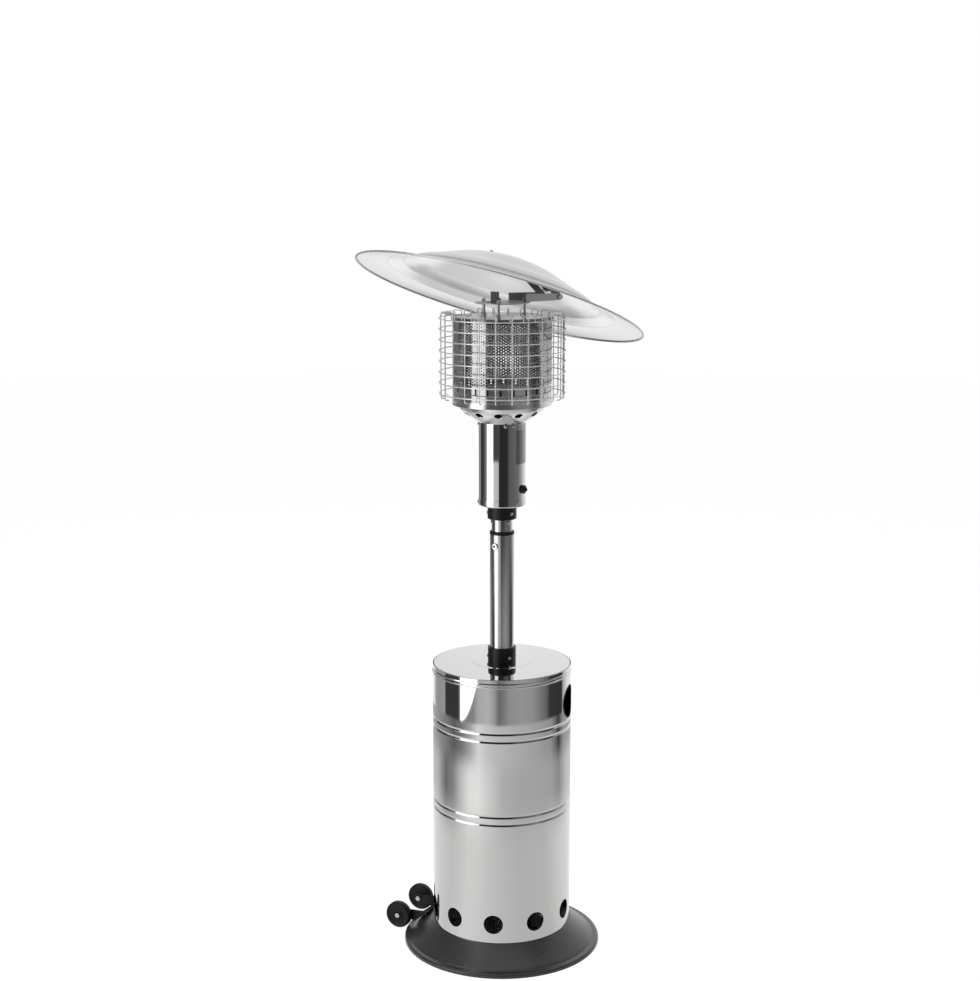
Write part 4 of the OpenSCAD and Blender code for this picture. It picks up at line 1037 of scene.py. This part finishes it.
# Reaches from the mast at which one ring of the floor blends into the next
NEAR_TO_MID = (0.9, 1.45)
MID_TO_FAR = (1.6, 1.9)
# A flag's two sides and lower edge, and the strip light's left side, spread and rise
FLAG = (-44, -12, 0.97)
STRIP = (-70, 31, 0.17)
STRIP_FADE = (0.6, 0.7)
FLAG_GREY = (0.03, 0.03, 0.03)
STRIP_GREY = (0.8, 0.8, 0.8)
# The floor's grey, which takes the object's shadow, and the white that the camera sees over it
FLOOR_GREY = (0.82, 0.82, 0.82)
FLOOR_WHITE = 1.12
FLOOR_WHITE_SHARE = 0.8
# The white surroundings' strength as light on the object, where 1 is what the camera sees
AIR_AS_LIGHT = 0.55


def studio_finish():
    """Panels of the studio, which only reflections see: dark flags, strips and pale floor.
    Gives the finish and its level at each place."""
    finish = Finish("studio")
    place = finish.node("TexCoord", output="Object")
    x, y, z = [finish.node("SeparateXYZ", {"Vector": place}, output=axis) for axis in "XYZ"]
    camera_way = math.atan2(CAMERA_PLACE.y, CAMERA_PLACE.x)
    c, s = math.cos(camera_way), math.sin(camera_way)
    angle = (y * c - x * s).math("ARCTAN2", x * c + y * s) / TURN + 0.5
    bands = {}
    for name, stops in (("low", LOW_BANDS), ("high", HIGH_BANDS), ("rim", RIM_BANDS),
            ("top", TOP_BANDS), ("far", FAR_FLOOR), ("mid", MID_FLOOR), ("near", NEAR_FLOOR)):
        bands[name] = finish.node("ValToRGB", {"Fac": angle},
            stops=[(a / 360 + 0.5, v / FULL_LEVEL) for a, v in stops])

    def blend(value, start, end, one, other):
        share = finish.node("MapRange", {"Value": value, "From Min": start, "From Max": end},
            interpolation_type="SMOOTHSTEP")
        return finish.tint(share, one, other)

    reach = (x * x + y * y) ** 0.5
    level = blend(z, *LOW_TO_HIGH, bands["low"], bands["high"])
    # A dark flag hangs beside the strip light, down to just under one metre
    flag = (angle.math("GREATER_THAN", FLAG[0] / 360 + 0.5)
        * (1 - angle.math("GREATER_THAN", FLAG[1] / 360 + 0.5))
        * z.math("GREATER_THAN", FLAG[2]))
    level = finish.tint(flag, level, FLAG_GREY)
    level = blend(z, *HIGH_TO_RIM, level, bands["rim"])
    level = blend(z, *RIM_TO_TOP, level, bands["top"])
    # The strip light at the left narrows as it comes down to the floor, and fades higher up
    start, spread, rise = STRIP
    climb = (z / rise).math("MINIMUM", 1) ** 0.5
    edge = climb * (spread / 360) + (start / 360 + 0.5)
    lit = angle.math("GREATER_THAN", start / 360 + 0.5) * edge.math("GREATER_THAN", angle)
    fade = finish.node("MapRange", {"Value": z, "From Min": STRIP_FADE[0],
        "From Max": STRIP_FADE[1], "To Min": 1, "To Max": 0})
    lit = lit * fade * z.math("GREATER_THAN", 1 * MM)
    level = finish.tint(lit, level, STRIP_GREY)
    floor = blend(reach, *NEAR_TO_MID, bands["near"], bands["mid"])
    floor = blend(reach, *MID_TO_FAR, floor, bands["far"])
    level = blend(z, 0, 4 * MM, floor, level)
    return finish, level


def studio_room():
    """White floor, and a wall of panels that only reflections see."""
    finish, level = studio_finish()
    glow = finish.node("Emission", {"Color": level, "Strength": FULL_LEVEL})
    plain = finish.node("BsdfDiffuse", {"Color": FLOOR_GREY})
    white = finish.node("Emission", {"Color": (1, 1, 1), "Strength": FLOOR_WHITE})
    seen = finish.node("MixShader", {0: FLOOR_WHITE_SHARE, 1: plain, 2: white})
    look = plain
    for ray, shader in (("Glossy", glow), ("Transmission", seen), ("Camera", seen)):
        is_ray = finish.node("LightPath", output="Is " + ray + " Ray")
        look = finish.node("MixShader", {0: is_ray, 1: look, 2: shader})
    finish.feed(finish.output.inputs["Surface"], look)
    finish.tree.nodes.remove(finish.shader)

    ground = bmesh.new()
    bmesh.ops.create_circle(ground, cap_ends=True, segments=96, radius=FLOOR_REACH)
    floor = scratch(ground, "floor")
    wall = bmesh.new()
    bmesh.ops.create_circle(wall, segments=128, radius=WALL_REACH)
    lifted = bmesh.ops.extrude_edge_only(wall, edges=wall.edges)["geom"]
    bmesh.ops.translate(wall, verts=[g for g in lifted if isinstance(g, bmesh.types.BMVert)],
        vec=(0, 0, WALL_HEIGHT))
    panels = scratch(wall, "studio_panels")
    for thing in (floor, panels):
        thing.data.materials.append(finish.material)
    for ray in ("camera", "diffuse", "transmission", "shadow"):
        setattr(panels, "visible_" + ray, False)


def studio_air():
    """White surroundings: full strength for the camera, mirrors and glass, less as light."""
    world = bpy.data.worlds.new("studio_air")
    bpy.context.scene.world = world
    world.use_nodes = True
    air = Graph(world.node_tree)
    clear_way = air.node("LightPath", output="Is Camera Ray")
    for ray in ("Is Glossy Ray", "Is Transmission Ray"):
        clear_way = clear_way.math("MAXIMUM", air.node("LightPath", output=ray))
    background = air.tree.nodes["Background"]
    air.feed(background.inputs["Color"], (1, 1, 1))
    air.feed(background.inputs["Strength"], clear_way * (1 - AIR_AS_LIGHT) + AIR_AS_LIGHT)


def studio_lamps():
    """Three soft lamps round the heater, which its mirrors don't show."""
    for name, place, size, power in (("key", (-3.2, 1.2, 2.6), (1.2, 2.4), 70),
            ("fill", (1.2, -3.6, 2.2), (2.0, 2.0), 35), ("top", (0.2, 0.3, 4.2), (3, 3), 60)):
        lamp = bpy.data.lights.new(name, "AREA")
        lamp.shape = "RECTANGLE"
        lamp.size, lamp.size_y = size
        lamp.energy = power
        light = bpy.data.objects.new(name, lamp)
        light.location = place
        aim = Vector((0, 0, 1)) - Vector(place)
        light.rotation_euler = aim.to_track_quat("-Z", "Y").to_euler()
        light.visible_glossy = False
        bpy.context.scene.collection.objects.link(light)


def studio_camera():
    """The photo's camera, which looks a little down."""
    scene = bpy.context.scene
    lens = bpy.data.cameras.new("camera")
    lens.lens = FOCAL_LENGTH
    lens.sensor_width = 36
    camera = bpy.data.objects.new("camera", lens)
    camera.location = CAMERA_PLACE
    camera.rotation_euler = (math.radians(90 - CAMERA_DIP), 0, math.radians(-CAMERA_TURN))
    scene.collection.objects.link(camera)
    scene.camera = camera
    scene.view_settings.view_transform = "Standard"


studio_room()
studio_air()
studio_lamps()
studio_camera()
